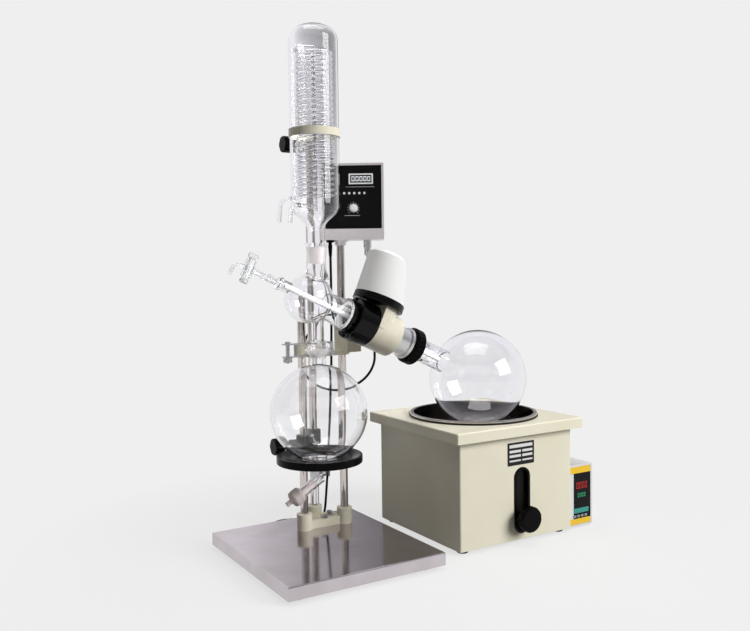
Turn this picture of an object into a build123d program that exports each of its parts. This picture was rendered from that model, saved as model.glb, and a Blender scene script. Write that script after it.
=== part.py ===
from build123d import *
import math
import os

# A rotary evaporator with a five litre flask, in millimetres, +Z up.
# The stand is laid out about the middle of its base plate, and the whole part is
# moved at the end so that its footprint is centred on the origin.
# X runs along the front of the base plate towards the water bath, Y away from the front.

# General values
slip_gap = 0.15
running_gap = 0.08
body_gap = 0.3
overrun = 2.0
glass_wall = 2.6
seam_turn = 90

# Base plate and feet
plate_width = 348.0
plate_depth = 386.0
plate_height = 26.0
plate_sheet = 1.5
plate_fold = 2.5
foot_height = 10.0
foot_radius = 14.0
foot_inset = 34.0
foot_chamfer = 2.0
plate_top = foot_height + plate_height

# Columns and the casting that holds them
column_radius = 9.0
column_chamfer = 1.0
column_side = 50.0
column_middle_x = 55.0
column_front_y = 99.5
column_rear_y = 149.5
boss_radius = 17.0
boss_height = 36.0
boss_edge = 2.0
boss_floor = 5.0
web_width = 14.0
web_height = 18.0
front_left = (column_middle_x - column_side, column_front_y)
front_right = (column_middle_x + column_side, column_front_y)
rear = (column_middle_x, column_rear_y)
columns_xy = [front_left, front_right, rear]
front_left_top = 560.0
rear_top = 900.0

# Bolts of the base casting
bolt_shank = 3.8
bolt_head_radius = 6.5
bolt_head_height = 6.0
bolt_socket_radius = 3.0
bolt_socket_depth = 3.0

# Glass axis, heights and diameters
glass_x = -13.6
glass_y = -13.0
receiver_radius = 100.0
receiver_z = 311.0
receiver_neck_radius = 16.0
receiver_outlet_radius = 16.0
outlet_end_z = 188.0
outlet_flange_radius = 19.5
outlet_flange_height = 4.0
ball_z = 444.0
ball_radius = 20.8
cup_wall = 3.0
cup_lip = 2.2
cup_lip_height = 4.0
drop_tube_radius = 12.8
ball_mouth = 14.0

# Head axis
head_tilt = 24.5
head_z = 539.6

# Still head
bulb_radius = 50.0
bulb_shift = -19.0
bulb_z = 545.0
socket_top = 658.0
socket_length = 44.0
socket_radius = 21.6
socket_bottom_radius = 19.4
socket_rim = 1.6
socket_rim_height = 5.0
ground_top_radius = 18.4
ground_bottom_radius = 16.2
neck_radius = 20.0
neck_drop = 38.0
neck_flare = 6.0
arm_start_radius = 24.0
arm_end_radius = 32.5
arm_flange_radius = 35.0
arm_flange_length = 4.0
feed_port_radius = 11.5
feed_port_end = 95.0
feed_port_ring = 2.2
feed_port_ring_length = 5.0

# Drive head, measured along its axis from the glass axis
cap_start = 70.0
cap_step = 84.0
cap_end = 132.0
cap_nose_radius = 36.0
cap_radius = 46.0
cap_skirt = 4.5
cap_edge = 3.0
housing_start = 98.0
housing_end = 196.0
housing_radius = 44.5
housing_edge = 2.5
seal_outer_radius = 31.0
seal_inner_radius = 23.0
seal_length = 11.0
sleeve_radius = 22.0
sleeve_bore = 18.5
sleeve_start = 84.0
adapter_radius = 31.0
adapter_end = 240.0
adapter_flange = 3.5
adapter_flange_length = 6.0
adapter_flange_back = 4.0
thread_radius = 28.8
thread_end = 250.0

# Vapour tube, nut and evaporating flask
vapour_radius = 18.0
vapour_wall = 2.4
vapour_start = 76.0
vapour_end = 305.0
vapour_cone_start = 253.0
vapour_cone_length = 32.0
nut_radius = 40.0
nut_length = 24.0
nut_lip = 6.0
nut_edge = 3.0
nut_grips = 24
nut_grip_radius = 1.7
flask_radius = 111.0
flask_distance = 453.3
flask_neck_radius = 25.0
flask_lip = 3.4
flask_lip_length = 5.0
flask_wall = 2.8

# Motor, measured across the head axis
motor_station = 136.0
motor_band_low = 47.0
motor_band_height = 16.0
motor_band_radius = 56.0
motor_boss_radius = 46.0
motor_cap_radius = 55.0
motor_cap_top_radius = 43.0
motor_cap_crown_radius = 35.0
motor_cap_height = 88.0
motor_cap_crown = 7.0
motor_cap_shift = -17.0
motor_cap_wall = 3.0
band_edge = 1.5

# Carriage casting between the columns and the drive head
carriage_z = 416.0
carriage_plate = 11.0
carriage_boss_height = 30.0
carriage_tall_boss = 63.0
carriage_arm_width = 34.0
carriage_arm_low = 9.0
carriage_arm_height = 46.0
carriage_face_y = 44.0
pad_length = 52.0
pad_height = 52.0
pad_station = 150.0

# End cap screws
cap_screw_count = 6
cap_screw_radius = 3.6
cap_screw_height = 3.5
cap_screw_ring = 41.0
cap_screw_shank = 2.0
cap_screw_depth = 8.0

# Feed stopcock, measured along the head axis from the feed port
feed_tube_radius = 7.6
feed_tube_end = 152.0
feed_cone_radius = 8.4
feed_cone_length = 30.0
feed_station = 163.0
feed_barrel_radius = 10.5
feed_barrel_half = 17.0
feed_plug_radius = 6.6
feed_plug_low = 29.0
feed_handle_width = 20.0
feed_handle_height = 9.0
feed_handle_thick = 6.0
feed_handle_low = 22.0
feed_handle_edge = 2.0
feed_cap_radius = 8.5
feed_cap_length = 7.0
hose_radius = 4.0
hose_bore = 2.4
hose_run = 12.0
hose_turn = 13.2
hose_bow = 4.9
hose_drop = 20.5
hose_tip = 1.6
hose_bends = (10.0, 8.0)
feed_pipe_radius = 5.6
feed_pipe_bore = 4.0
feed_bore = feed_pipe_radius + slip_gap
feed_pipe_end = 330.0

# Condenser
condenser_radius = 49.7
condenser_neck = 25.0
condenser_cone = 52.0
condenser_low = socket_top + condenser_neck + condenser_cone
condenser_wall_top = 1064.0
condenser_dome = 32.0
dome_share = 0.55
condenser_neck_radius = 17.4
condenser_wall = 2.8
cone_tip = 4.0
barb_angles = (160.0, 200.0)
barb_step = 16.0
barb_radius = 4.3
barb_bore = 2.7
barb_reach = 74.0
barb_bend = 18.0
barb_drops = (48.0, 35.0)

# Condenser coil
coil_radius = 36.0
coil_tube = 3.5
coil_pitch = 10.9
coil_turns = 27.0
coil_low = 748.0
coil_sides = 6
barb_heights = (coil_low, coil_low - barb_step)
return_radius = 4.0
return_wall = 1.2
return_over = 4.0

# Condenser band, arm and clamp
band_low = 870.0
band_height = 16.0
band_wall = 2.2
band_lug_width = 26.0
band_lug_depth = 9.0
arm_width = 14.0
arm_height = 16.0
arm_low = 870.0
clamp_low = 863.0
clamp_height = 34.0
clamp_radius = 17.0
clamp_edge = 1.5
clamp_screw_z = 880.0
clamp_boss_radius = 9.0
clamp_boss_reach = 32.0

# Screw knobs
knob_radius = 18.0
knob_length = 22.0
knob_neck = 9.0
knob_neck_length = 6.0
knob_lobes = 6
knob_lobe_radius = 5.0
knob_screw_radius = 4.0
knob_round = 2.0
condenser_knob_reach = 64.0
receiver_knob_reach = 72.0

# Receiver ring and its clamp
ring_radius = 88.5
ring_height = 15.5
ring_low = 209.5
ring_hole = 42.0
ring_floor = 60.0
ring_dish = 5.0
ring_edge = 2.0
ring_arm_width = 24.0
receiver_clamp_height = 34.0
receiver_boss_reach = 36.0

# Ball joint clamp
jaw_thick = 2.5
jaw_upper_z = 454.0
jaw_lower_z = 428.5
jaw_ring_width = 9.0
jaw_arm_width = 13.0
jaw_arm_reach = 78.0
jaw_mouth = 27.0
link_width = 12.0
link_reach = 33.0
link_thick = 3.0
screw_station = 68.0
screw_radius = 3.0
screw_head_radius = 5.5
screw_head_height = 4.0
nut_wheel_radius = 9.0
nut_wheel_height = 9.0
nut_wheel_grips = 16
nut_wheel_grip = 0.9

# Drain valve
drain_slope = 30.0
drain_barrel_radius = 11.0
drain_bore = 7.6
drain_length = 48.0
drain_start_z = 175.0
drain_stub_radius = 8.5
drain_stub_bore = 5.5
drain_spout_radius = 6.0
drain_spout_bore = 3.8
drain_spout_end = 124.0
drain_spout_shift = -9.0
drain_plug_start = 16.0
drain_knob_radius = 17.0
drain_knob_length = 26.0
drain_knob_round = 7.0
drain_nub_radius = 5.0
drain_nub_length = 15.0
clip_wall = 1.2
clip_height = 15.0
clip_mouth = 22.0

# Control box
box_width = 133.0
box_height = 166.0
box_depth = 70.0
box_low = 669.0
box_turn = 31.0
box_shift = 30.5
box_behind = 33.0
box_edge = 3.0
box_wall = 2.0
box_rim = 5.0
box_top_rim = 5.0
box_bottom_rim = 24.0
panel_thick = 3.0
panel_inset = 1.0
display_width = 53.0
display_height = 23.0
display_x = 17.0
display_top = 18.0
display_frame = 3.0
display_proud = 2.0
speed_x = 0.0
speed_z = 68.0
speed_radius = 7.0
speed_height = 10.0
speed_skirt = 1.6
speed_shaft = 3.0
speed_shaft_depth = 6.0
collar_radius = 13.0
collar_height = 11.0
collar_flange_radius = 18.0
collar_flange_height = 3.0
column_entry = 24.0

# Glands and connectors
gland_radius = 7.0
gland_length = 12.0
gland_nut_radius = 8.5
gland_nut_length = 5.0
mains_gland_x = -52.5
mains_gland_y = 18.0
motor_socket_x = 29.5
motor_socket_y = 2.0
motor_socket_radius = 9.0
motor_socket_length = 34.0

# Cords
mains_radius = 2.8
motor_lead_radius = 2.6
cord_bend_share = 0.45
hank_inner = 26.8
hank_outer = 38.0
hank_height = 11.2
hank_lift = 0.1
hank_x = 30.0
hank_y = 238.2
plug_x = -72.0
plug_y = 208.0
plug_width = 26.0
plug_length = 42.0
plug_height = 24.0
plug_tail = 16.0
plug_tail_radius = 6.0
pin_length = 17.0
pin_width = 6.5
pin_thick = 1.6
pin_spread = 6.5

# Water bath
bath_x = 402.0
bath_y = 9.5
bath_width = 316.0
bath_depth = 313.0
bath_foot = 8.0
bath_foot_radius = 13.0
bath_foot_inset = 22.0
bath_sheet = 2.0
bath_corner = 4.0
lid_overhang = 18.9
lid_height = 23.2
lid_top = 263.7
lid_sheet = 2.5
lid_edge = 3.0
bath_rim_gap = 1.0
pot_rim_radius = 147.5
pot_radius = 139.0
pot_wall = 1.2
pot_rim_height = 4.0
pot_floor = 114.0
pot_round = 18.0
gasket_height = 4.0
gasket_width = 7.0
sleeve_inset = 6.0
sleeve_depth = 92.0
sleeve_sheet = 1.5
heater_radius = 95.0
heater_tube = 4.0
heater_lift = 9.0
heater_mouth_share = 0.86
slot_x = 11.5
slot_width = 36.0
slot_height = 138.0
slot_low = 26.0
slot_trim = 4.0
slot_trim_thick = 2.0
lift_travel = 60.0
lock_radius = 28.5
lock_rise = 14.0
lock_hub = 14.0
lock_hub_radius = 13.0
lock_length = 18.0
lock_stem_radius = 9.0
lock_lobes = 8
lock_lobe_radius = 4.0
lock_round = 5.0

# Bath temperature controller
controller_width = 77.0
controller_height = 145.0
controller_depth = 92.0
controller_low = 3.0
controller_back = 10.0
controller_edge = 5.0
controller_bezel = 2.0
controller_rim = 5.0
key_width = 8.0
key_height = 5.0
key_proud = 1.5
key_gap = 3.5
key_count = 4
key_low = 22.0
key_stem = 2.0

# Routes of the cords, after the point where each leaves its gland
mains_route = [
    (80.5, 101.5, 625.0), (86.0, 111.0, 582.0), (92.0, 122.0, 535.0), (97.0, 132.5, 485.0), (101.0, 142.0, 425.0),
    (103.5, 150.0, 350.0), (105.5, 160.0, 275.0), (107.0, 171.5, 200.0), (108.5, 184.5, 130.0),
    (110.0, 196.5, 75.0), (109.5, 200.5, 45.0), (104.0, 202.5, 18.0), (84.0, 203.2, 3.2),
    (58.0, 203.4, 2.9), (44.0, 203.0, 2.9),
]
mains_tail_route = [(17.0, 203.0, 8.5), (0.0, 203.4, 8.7), (-18.0, 204.6, 9.6), (-36.0, 206.6, 11.2), (-56.0, 208.0, 12.0)]
motor_route = [
    (153.0, 62.6, 590.0), (157.0, 64.5, 532.0), (164.0, 67.5, 476.0), (173.0, 71.0, 426.0), (175.0, 75.0, 392.0),
    (160.0, 84.0, 362.0), (138.0, 101.0, 342.0), (113.0, 123.0, 333.0), (92.0, 149.0, 334.0), (70.0, 172.0, 346.0),
    (50.0, 184.0, 374.0), (44.0, 184.0, 412.0), (53.0, 178.0, 450.0), (73.0, 162.0, 482.0), (97.0, 138.0, 500.0),
    (116.0, 112.0, 511.0), (128.0, 84.0, 523.0),
]

C = Align.CENTER
L = Align.MIN
ROUND = (C, C, L)


def rod(radius, length):
    return Cylinder(radius, length, align=ROUND)


def ring(outer, inner, length):
    return rod(outer, length) - Pos(0, 0, -overrun) * rod(inner, length + overrun + overrun)


def block(x, y, z):
    return Box(x, y, z, align=ROUND)


def ball(radius):
    return Rot(0, 0, seam_turn) * Sphere(radius)


def lathe(points):
    return revolve(Plane.XZ * make_face(Polyline(*points, close=True)), Axis.Z)


def outline(radius, z):
    return Plane.XY.offset(z) * Circle(radius)


def between(a, b, width, height):
    length = math.hypot(b[0] - a[0], b[1] - a[1])
    turn = math.degrees(math.atan2(b[1] - a[1], b[0] - a[0]))
    middle = Pos((a[0] + b[0]) / 2, (a[1] + b[1]) / 2, 0)
    return middle * Rot(0, 0, turn) * block(length, width, height)


def tube_path(points, bends, radius, bore):
    path = FilletPolyline(*points, radius=bends)
    across = Plane(origin=path @ 0, z_dir=path % 0)
    solid = sweep(across * Circle(radius), path=path)
    return solid - sweep(across * Circle(bore), path=path) if bore else solid


def cord(points, radius, name):
    # straight runs joined by arcs as large as the two runs at each point allow
    spots = [Vector(*point) for point in points]
    runs = [b - a for a, b in zip(spots, spots[1:])]
    turns = [math.radians(a.get_angle(b)) for a, b in zip(runs, runs[1:])]
    bends = [cord_bend_share * min(a.length, b.length) / math.tan(t / 2) for a, b, t in zip(runs, runs[1:], turns)]
    path = FilletPolyline(*points, radius=bends)
    across = Plane(origin=path @ 0, z_dir=path % 0)
    solid = sweep(across * Circle(radius), path=path)
    print(name, "length", round(path.length, 1), "volume share", solid.volume / (math.pi * radius ** 2 * path.length))
    print(name, "smallest radii", sorted(round(bend, 1) for bend in bends)[:4])
    return solid


def save(name, shape):
    parts[name] = shape


parts = {}

# The head frame: z along the rotation axis towards the flask, x up and across it.
tilt = math.radians(head_tilt)
head = Location(Plane(
    origin=(glass_x, glass_y, head_z),
    x_dir=(math.sin(tilt), 0, math.cos(tilt)),
    z_dir=(math.cos(tilt), 0, -math.sin(tilt)),
))
glass = Pos(glass_x, glass_y, 0)


# Base plate: a folded tray, open underneath
def make_base_plate():
    tray = Pos(0, 0, foot_height) * block(plate_width, plate_depth, plate_height)
    tray = fillet(tray.edges().filter_by(Axis.Z) + tray.faces().sort_by(Axis.Z)[-1].edges(), plate_fold)
    inside = Pos(0, 0, foot_height - overrun) * block(
        plate_width - 2 * plate_sheet, plate_depth - 2 * plate_sheet, plate_height + overrun - plate_sheet)
    tray -= inside
    for x, y in bolt_places():
        tray -= Pos(x, y, foot_height) * rod(bolt_shank + slip_gap, plate_height + overrun)
    return tray


def bolt_places():
    pairs = ((front_left, front_right), (front_right, rear), (rear, front_left))
    return [((a[0] + b[0]) / 2, (a[1] + b[1]) / 2) for a, b in pairs]


def make_feet():
    foot = rod(foot_radius, plate_top - plate_sheet)
    foot = chamfer(foot.faces().sort_by(Axis.Z)[0].edges(), foot_chamfer)
    half_x = plate_width / 2 - foot_inset
    half_y = plate_depth / 2 - foot_inset
    return [Pos(x, y, 0) * foot for x in (-half_x, half_x) for y in (-half_y, half_y)]


def make_foot_casting():
    casting = None
    for x, y in columns_xy:
        boss = fillet(rod(boss_radius, boss_height).faces().sort_by(Axis.Z)[-1].edges(), boss_edge)
        boss = Pos(x, y, 0) * boss
        casting = boss if casting is None else casting + boss
    for a, b in ((front_left, front_right), (front_right, rear), (rear, front_left)):
        casting += between(a, b, web_width, web_height)
    for x, y in columns_xy:
        casting -= Pos(x, y, boss_floor) * rod(column_radius + slip_gap, boss_height)
    for x, y in bolt_places():
        casting -= Pos(x, y, -overrun) * rod(bolt_shank + slip_gap, boss_height)
    return Pos(0, 0, plate_top) * casting


def make_casting_bolts():
    shank = rod(bolt_shank, web_height + plate_sheet + bolt_head_height)
    bolt = Pos(0, 0, web_height) * rod(bolt_head_radius, bolt_head_height)
    bolt += Pos(0, 0, -plate_sheet) * shank
    recess = RegularPolygon(bolt_socket_radius, 6)
    top = web_height + bolt_head_height - bolt_socket_depth
    bolt -= Pos(0, 0, top) * extrude(recess, bolt_socket_depth + overrun)
    return [Pos(x, y, plate_top) * bolt for x, y in bolt_places()]


def make_column(place, top):
    low = plate_top + boss_floor
    column = chamfer(rod(column_radius, top - low).faces().sort_by(Axis.Z)[-1].edges(), column_chamfer)
    return Pos(place[0], place[1], low) * column


save("base_plate", make_base_plate())
save("base_feet", make_feet())
save("foot_casting", make_foot_casting())
save("column_front_left", make_column(front_left, front_left_top))
save("column_front_right", make_column(front_right, box_low + column_entry))
save("column_rear", make_column(rear, rear_top))


# Carriage casting: three bosses on one plate, and the arm that carries the drive head
def make_carriage():
    heights = (carriage_boss_height, carriage_tall_boss, carriage_boss_height)
    casting = None
    for (x, y), height in zip(columns_xy, heights):
        boss = fillet(rod(boss_radius, height).edges().filter_by(GeomType.CIRCLE), boss_edge)
        boss = Pos(x, y, 0) * boss
        casting = boss if casting is None else casting + boss
    for a, b in ((front_left, front_right), (front_right, rear), (rear, front_left)):
        casting += between(a, b, carriage_arm_width - boss_edge - boss_edge, carriage_plate)
    reach = front_right[1] - carriage_face_y
    arm = Pos(front_right[0], carriage_face_y + reach / 2, carriage_arm_low) * block(
        carriage_arm_width, reach, carriage_arm_height)
    casting += fillet(arm.edges().filter_by(Axis.Y), boss_edge)
    for x, y in columns_xy:
        casting -= Pos(x, y, -overrun) * rod(column_radius + slip_gap, carriage_tall_boss + 2 * overrun)
    return Pos(0, 0, carriage_z) * casting


save("carriage_casting", make_carriage())


# Drive head housing with its motor boss and the pad that bolts to the carriage
def make_housing():
    bore = sleeve_radius + running_gap
    barrel = Pos(0, 0, cap_end) * rod(housing_radius, housing_end - cap_end)
    barrel = fillet(barrel.faces().sort_by(Axis.Z)[-1].edges(), housing_edge)
    barrel += Pos(0, 0, housing_start) * rod(cap_radius - cap_skirt - slip_gap, cap_end - housing_start + overrun)
    boss = Pos(0, 0, motor_station) * Rot(0, 90, 0) * rod(motor_boss_radius, motor_band_low)
    keep = Pos(0, 0, cap_end + slip_gap) * block(
        4 * motor_boss_radius, 4 * motor_boss_radius, 2 * motor_boss_radius)
    barrel += boss & keep
    pad_reach = carriage_face_y - glass_y
    pad = Pos(0, -pad_reach / 2, pad_station - pad_length / 2 + cap_screw_height) * block(
        pad_height, pad_reach, pad_length)
    pad = fillet(pad.edges().filter_by(Axis.Y), boss_edge)
    barrel += pad & keep
    return head * (barrel - Pos(0, 0, housing_start - overrun) * rod(bore, housing_end))


def make_end_cap():
    skirt = cap_radius - cap_skirt
    seal = seal_outer_radius + slip_gap
    inner = sleeve_radius + body_gap
    cap = lathe([
        (seal, cap_start), (cap_nose_radius, cap_start), (cap_nose_radius, cap_step),
        (cap_radius, cap_step), (cap_radius, cap_end), (skirt, cap_end),
        (skirt, housing_start), (inner, housing_start), (inner, cap_start + seal_length),
        (seal, cap_start + seal_length),
    ])
    rim = cap.edges().filter_by(GeomType.CIRCLE).group_by(lambda e: e.radius)[-1].sort_by(Axis.Z)[0]
    cap = fillet(rim, cap_edge)
    for place in PolarLocations(cap_screw_ring, cap_screw_count):
        cap -= place * Pos(0, 0, cap_step - overrun) * rod(cap_screw_shank + slip_gap, cap_screw_depth + overrun)
    return head * cap


def make_cap_screws():
    screw = Pos(0, 0, -cap_screw_height) * fillet(
        rod(cap_screw_radius, cap_screw_height).faces().sort_by(Axis.Z)[0].edges(), cap_screw_height / 3)
    screw += rod(cap_screw_shank, cap_screw_depth - slip_gap)
    return [head * place * Pos(0, 0, cap_step) * screw for place in PolarLocations(cap_screw_ring, cap_screw_count)]


save("gearbox_housing", make_housing())
save("end_cap", make_end_cap())
save("socket_screws", make_casting_bolts() + make_cap_screws())
save("seal_ring", head * Pos(0, 0, cap_start + slip_gap) * ring(
    seal_outer_radius, seal_inner_radius, seal_length - 2 * slip_gap))


# Motor: black flange band and the oblique white cap over it
def make_motor_band():
    band = rod(motor_band_radius, motor_band_height)
    return fillet(band.edges().filter_by(GeomType.CIRCLE), band_edge)


def make_motor_cap():
    def form(inset):
        base = outline(motor_cap_radius - inset, 0)
        high = Plane.XY.offset(motor_cap_height - inset) * Pos(motor_cap_shift, 0) * Circle(motor_cap_top_radius - inset)
        lip = motor_cap_height + motor_cap_crown - inset
        crown = Plane.XY.offset(lip) * Pos(motor_cap_shift, 0) * Circle(motor_cap_crown_radius - inset)
        return loft([base, high], ruled=True) + loft([high, crown], ruled=True)
    return form(0) - form(motor_cap_wall)


# the motor frame: z away from the head axis, x along it towards the flask
motor = head * Location(Plane(origin=(0, 0, motor_station), x_dir=(0, 0, 1), z_dir=(1, 0, 0)))
# the gland of the motor lead sits in a shallow pocket on the front of the band
motor_gland = head * Pos(motor_band_low + motor_band_height / 2, band_edge - motor_band_radius, motor_station) * Rot(
    90, 0, 0)
motor_gland_radius = motor_socket_radius - band_edge
save("motor_band", motor * Pos(0, 0, motor_band_low) * make_motor_band() - motor_gland * rod(
    motor_gland_radius + slip_gap, band_edge + overrun))
save("motor_cap", motor * Pos(0, 0, motor_band_low + motor_band_height) * make_motor_cap())


# Rotor: sleeve with adapter, vapour tube, nut and flask
def make_sleeve():
    flange = adapter_end - adapter_flange_back
    flange_start = flange - adapter_flange_length
    wide = adapter_radius + adapter_flange
    step = housing_end + body_gap
    return head * lathe([
        (sleeve_bore, sleeve_start), (sleeve_radius, sleeve_start), (sleeve_radius, step),
        (adapter_radius, step), (adapter_radius, flange_start), (wide, flange_start),
        (wide, flange), (adapter_radius, flange), (adapter_radius, adapter_end),
        (thread_radius, adapter_end), (thread_radius, thread_end), (sleeve_bore, thread_end),
    ])


def make_vapour_tube():
    inner = vapour_radius - vapour_wall
    cone = flask_neck_radius - flask_wall - slip_gap
    cone_end = vapour_cone_start + vapour_cone_length
    return head * lathe([
        (inner, vapour_start), (vapour_radius, vapour_start), (vapour_radius, vapour_cone_start - overrun),
        (cone, vapour_cone_start), (cone, cone_end), (vapour_radius, cone_end + overrun),
        (vapour_radius, vapour_end), (inner, vapour_end),
    ])


def make_nut():
    neck = flask_neck_radius + slip_gap
    seat = flask_neck_radius + flask_lip + slip_gap
    end = adapter_end + nut_length
    nut = lathe([
        (thread_radius + slip_gap, adapter_end + slip_gap), (nut_radius, adapter_end + slip_gap),
        (nut_radius, end), (neck, end), (neck, end - nut_lip), (seat, end - nut_lip),
        (seat, thread_end), (thread_radius + slip_gap, thread_end),
    ])
    nut = chamfer(nut.edges().filter_by(GeomType.CIRCLE).group_by(lambda e: e.radius)[-1], nut_edge)
    for place in PolarLocations(nut_radius, nut_grips):
        nut -= place * Pos(0, 0, adapter_end) * rod(nut_grip_radius, nut_length + overrun)
    return head * nut


def make_flask():
    start = thread_end + slip_gap
    depth = flask_distance - start
    outer = Pos(0, 0, flask_distance) * ball(flask_radius) + Pos(0, 0, start) * rod(flask_neck_radius, depth)
    inner = Pos(0, 0, flask_distance) * ball(flask_radius - flask_wall)
    inner += Pos(0, 0, start - overrun) * rod(flask_neck_radius - flask_wall, depth)
    lip = Pos(0, 0, start) * rod(flask_neck_radius + flask_lip, flask_lip_length)
    return head * (outer + lip - inner)


save("rotor_sleeve", make_sleeve())
save("vapour_tube", make_vapour_tube())
save("flask_nut", make_nut())
save("evaporating_flask", make_flask())


# Still head: bulb, socket, drop tube with ball, wide arm and feed port, blown as one piece
def make_still_head():
    arm_length = cap_start - slip_gap
    bulb = Pos(glass_x + bulb_shift, glass_y, bulb_z)
    low = bulb_z + neck_drop
    socket_low = socket_top - socket_length

    def upper(inset):
        rim = socket_radius + socket_rim - inset
        return [(0, low), (neck_radius + neck_flare, low), (neck_radius - inset, socket_low - neck_drop / 4),
                (socket_bottom_radius - inset, socket_low), (socket_radius - inset, socket_top - socket_rim_height),
                (rim, socket_top - socket_rim_height), (rim, socket_top), (0, socket_top)]

    outer = bulb * ball(bulb_radius) + glass * lathe(upper(0))
    outer += glass * Pos(0, 0, ball_z) * rod(drop_tube_radius, bulb_z - ball_z)
    outer += glass * Pos(0, 0, ball_z) * ball(ball_radius)
    outer += head * Cone(arm_start_radius, arm_end_radius, arm_length, align=ROUND)
    outer += head * Pos(0, 0, arm_length - arm_flange_length) * rod(arm_flange_radius, arm_flange_length)
    outer += head * Rot(0, 180, 0) * rod(feed_port_radius, feed_port_end)
    outer += head * Rot(0, 180, 0) * Pos(0, 0, feed_port_end - feed_port_ring_length) * rod(
        feed_port_radius + feed_port_ring, feed_port_ring_length)
    inner = bulb * ball(bulb_radius - glass_wall)
    inner += glass * Pos(0, 0, low - overrun) * rod(neck_radius - glass_wall - socket_rim, socket_low - low + overrun)
    inner += glass * Pos(0, 0, socket_low) * Cone(
        ground_bottom_radius + slip_gap, ground_top_radius + slip_gap, socket_length, align=ROUND)
    inner += glass * Pos(0, 0, ball_z - ball_radius) * rod(drop_tube_radius - glass_wall, bulb_z - ball_z)
    inner += head * Cone(arm_start_radius - glass_wall, arm_end_radius - glass_wall, arm_length, align=ROUND)
    inner += head * Rot(0, 180, 0) * rod(feed_port_radius - glass_wall, feed_port_end + overrun)
    shell = outer - inner
    return shell - glass * Pos(0, 0, ball_z - ball_mouth - ball_radius) * rod(ball_radius, ball_radius)


save("still_head", make_still_head())


# Feed stopcock: cone in the feed port, barrel across, bent hose end
def make_feed_stopcock():
    feed = head * Rot(0, 180, 0)
    run = feed_station - feed_port_end
    body = Pos(0, 0, feed_port_end - feed_cone_length) * Cone(
        feed_cone_radius - feed_port_ring / 2, feed_cone_radius, feed_cone_length, align=ROUND)
    body += Pos(0, 0, feed_port_end) * rod(feed_cone_radius, run / 3)
    body += Pos(0, 0, feed_port_end) * rod(feed_tube_radius, run)
    barrel = Pos(-feed_barrel_half, 0, feed_station) * Rot(0, 90, 0) * rod(feed_barrel_radius, 2 * feed_barrel_half)
    start = feed_station + feed_barrel_radius / 2
    turn = start + hose_run + hose_turn
    points = [(0, 0, start), (0, 0, start + hose_run), (hose_bow, 0, turn), (hose_bow + hose_drop, 0, turn + hose_tip)]
    hose = tube_path(points, hose_bends, hose_radius, 0)
    bore = tube_path(points, hose_bends, hose_bore, 0)
    body = body + barrel + hose
    body -= Pos(0, 0, feed_port_end - feed_cone_length - overrun) * rod(feed_bore, feed_cone_length + overrun)
    body -= Pos(0, 0, feed_port_end - overrun) * rod(feed_bore / 2, run + overrun)
    body -= bore
    body -= Pos(-feed_barrel_half - overrun, 0, feed_station) * Rot(0, 90, 0) * rod(
        feed_plug_radius + running_gap, 2 * feed_barrel_half + 2 * overrun)
    return feed * body


def make_feed_plug():
    shaft = Pos(0, 0, -feed_plug_low) * rod(feed_plug_radius, feed_plug_low + feed_handle_low)
    shaft += Pos(0, 0, -feed_plug_low) * rod(feed_cap_radius, feed_cap_length)
    handle = block(feed_handle_width, feed_handle_thick, feed_handle_height)
    shaft += Pos(0, 0, feed_handle_low) * fillet(handle.edges().filter_by(Axis.Y), feed_handle_edge)
    shaft -= Rot(0, 90, 0) * Pos(0, 0, -feed_barrel_radius) * rod(feed_bore / 2, 2 * feed_barrel_radius)
    return head * Pos(0, 0, -feed_station) * Rot(0, 90, 0) * shaft


def make_feed_pipe():
    start = feed_port_end - feed_cone_length / 2
    return head * Pos(0, 0, -start) * ring(feed_pipe_radius, feed_pipe_bore, start + feed_pipe_end)


save("feed_stopcock", make_feed_stopcock())
save("feed_plug", make_feed_plug())
save("feed_pipe", make_feed_pipe())


# Receiving flask with cup above and flanged outlet below
def make_receiver():
    cup = ball_radius + slip_gap + cup_wall
    outer = Pos(0, 0, receiver_z) * ball(receiver_radius)
    outer += Pos(0, 0, receiver_z) * rod(receiver_neck_radius, ball_z - receiver_z - ball_radius / 2)
    bowl = Pos(0, 0, ball_z) * ball(cup) & Pos(0, 0, ball_z - cup) * rod(cup, cup)
    outer += bowl + Pos(0, 0, ball_z - cup_lip_height) * rod(cup + cup_lip, cup_lip_height)
    outer += Pos(0, 0, outlet_end_z) * rod(receiver_outlet_radius, receiver_z - outlet_end_z)
    outer += Pos(0, 0, outlet_end_z) * rod(outlet_flange_radius, outlet_flange_height)
    inner = Pos(0, 0, receiver_z) * ball(receiver_radius - glass_wall)
    inner += Pos(0, 0, ball_z) * ball(ball_radius + slip_gap)
    inner += Pos(0, 0, receiver_z) * rod(receiver_neck_radius - glass_wall, ball_z - receiver_z)
    inner += Pos(0, 0, outlet_end_z - overrun) * rod(
        receiver_outlet_radius - glass_wall, receiver_z - outlet_end_z)
    return glass * (outer - inner)


save("receiving_flask", make_receiver())


# Drain valve: stub under the outlet, sloping barrel, spout, and the clip that holds it
def make_drain_valve():
    top = outlet_end_z - slip_gap
    barrel = Pos(0, 0, drain_start_z) * Rot(0, -90 - drain_slope, 0)
    outer = Pos(0, 0, drain_start_z) * rod(drain_stub_radius, top - drain_start_z)
    outer += Pos(0, 0, top - outlet_flange_height) * rod(outlet_flange_radius, outlet_flange_height)
    outer += barrel * Pos(0, 0, -drain_barrel_radius / 2) * rod(
        drain_barrel_radius, drain_length + drain_barrel_radius / 2)
    spout = Pos(drain_spout_shift, 0, drain_spout_end)
    outer += spout * rod(drain_spout_radius, drain_start_z - drain_spout_end)
    outer -= Pos(0, 0, drain_start_z) * rod(drain_stub_bore, top - drain_start_z + overrun)
    outer -= spout * Pos(0, 0, -overrun) * rod(drain_spout_bore, drain_start_z - drain_spout_end)
    outer -= barrel * rod(drain_bore, drain_length + overrun)
    return glass * outer


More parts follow.
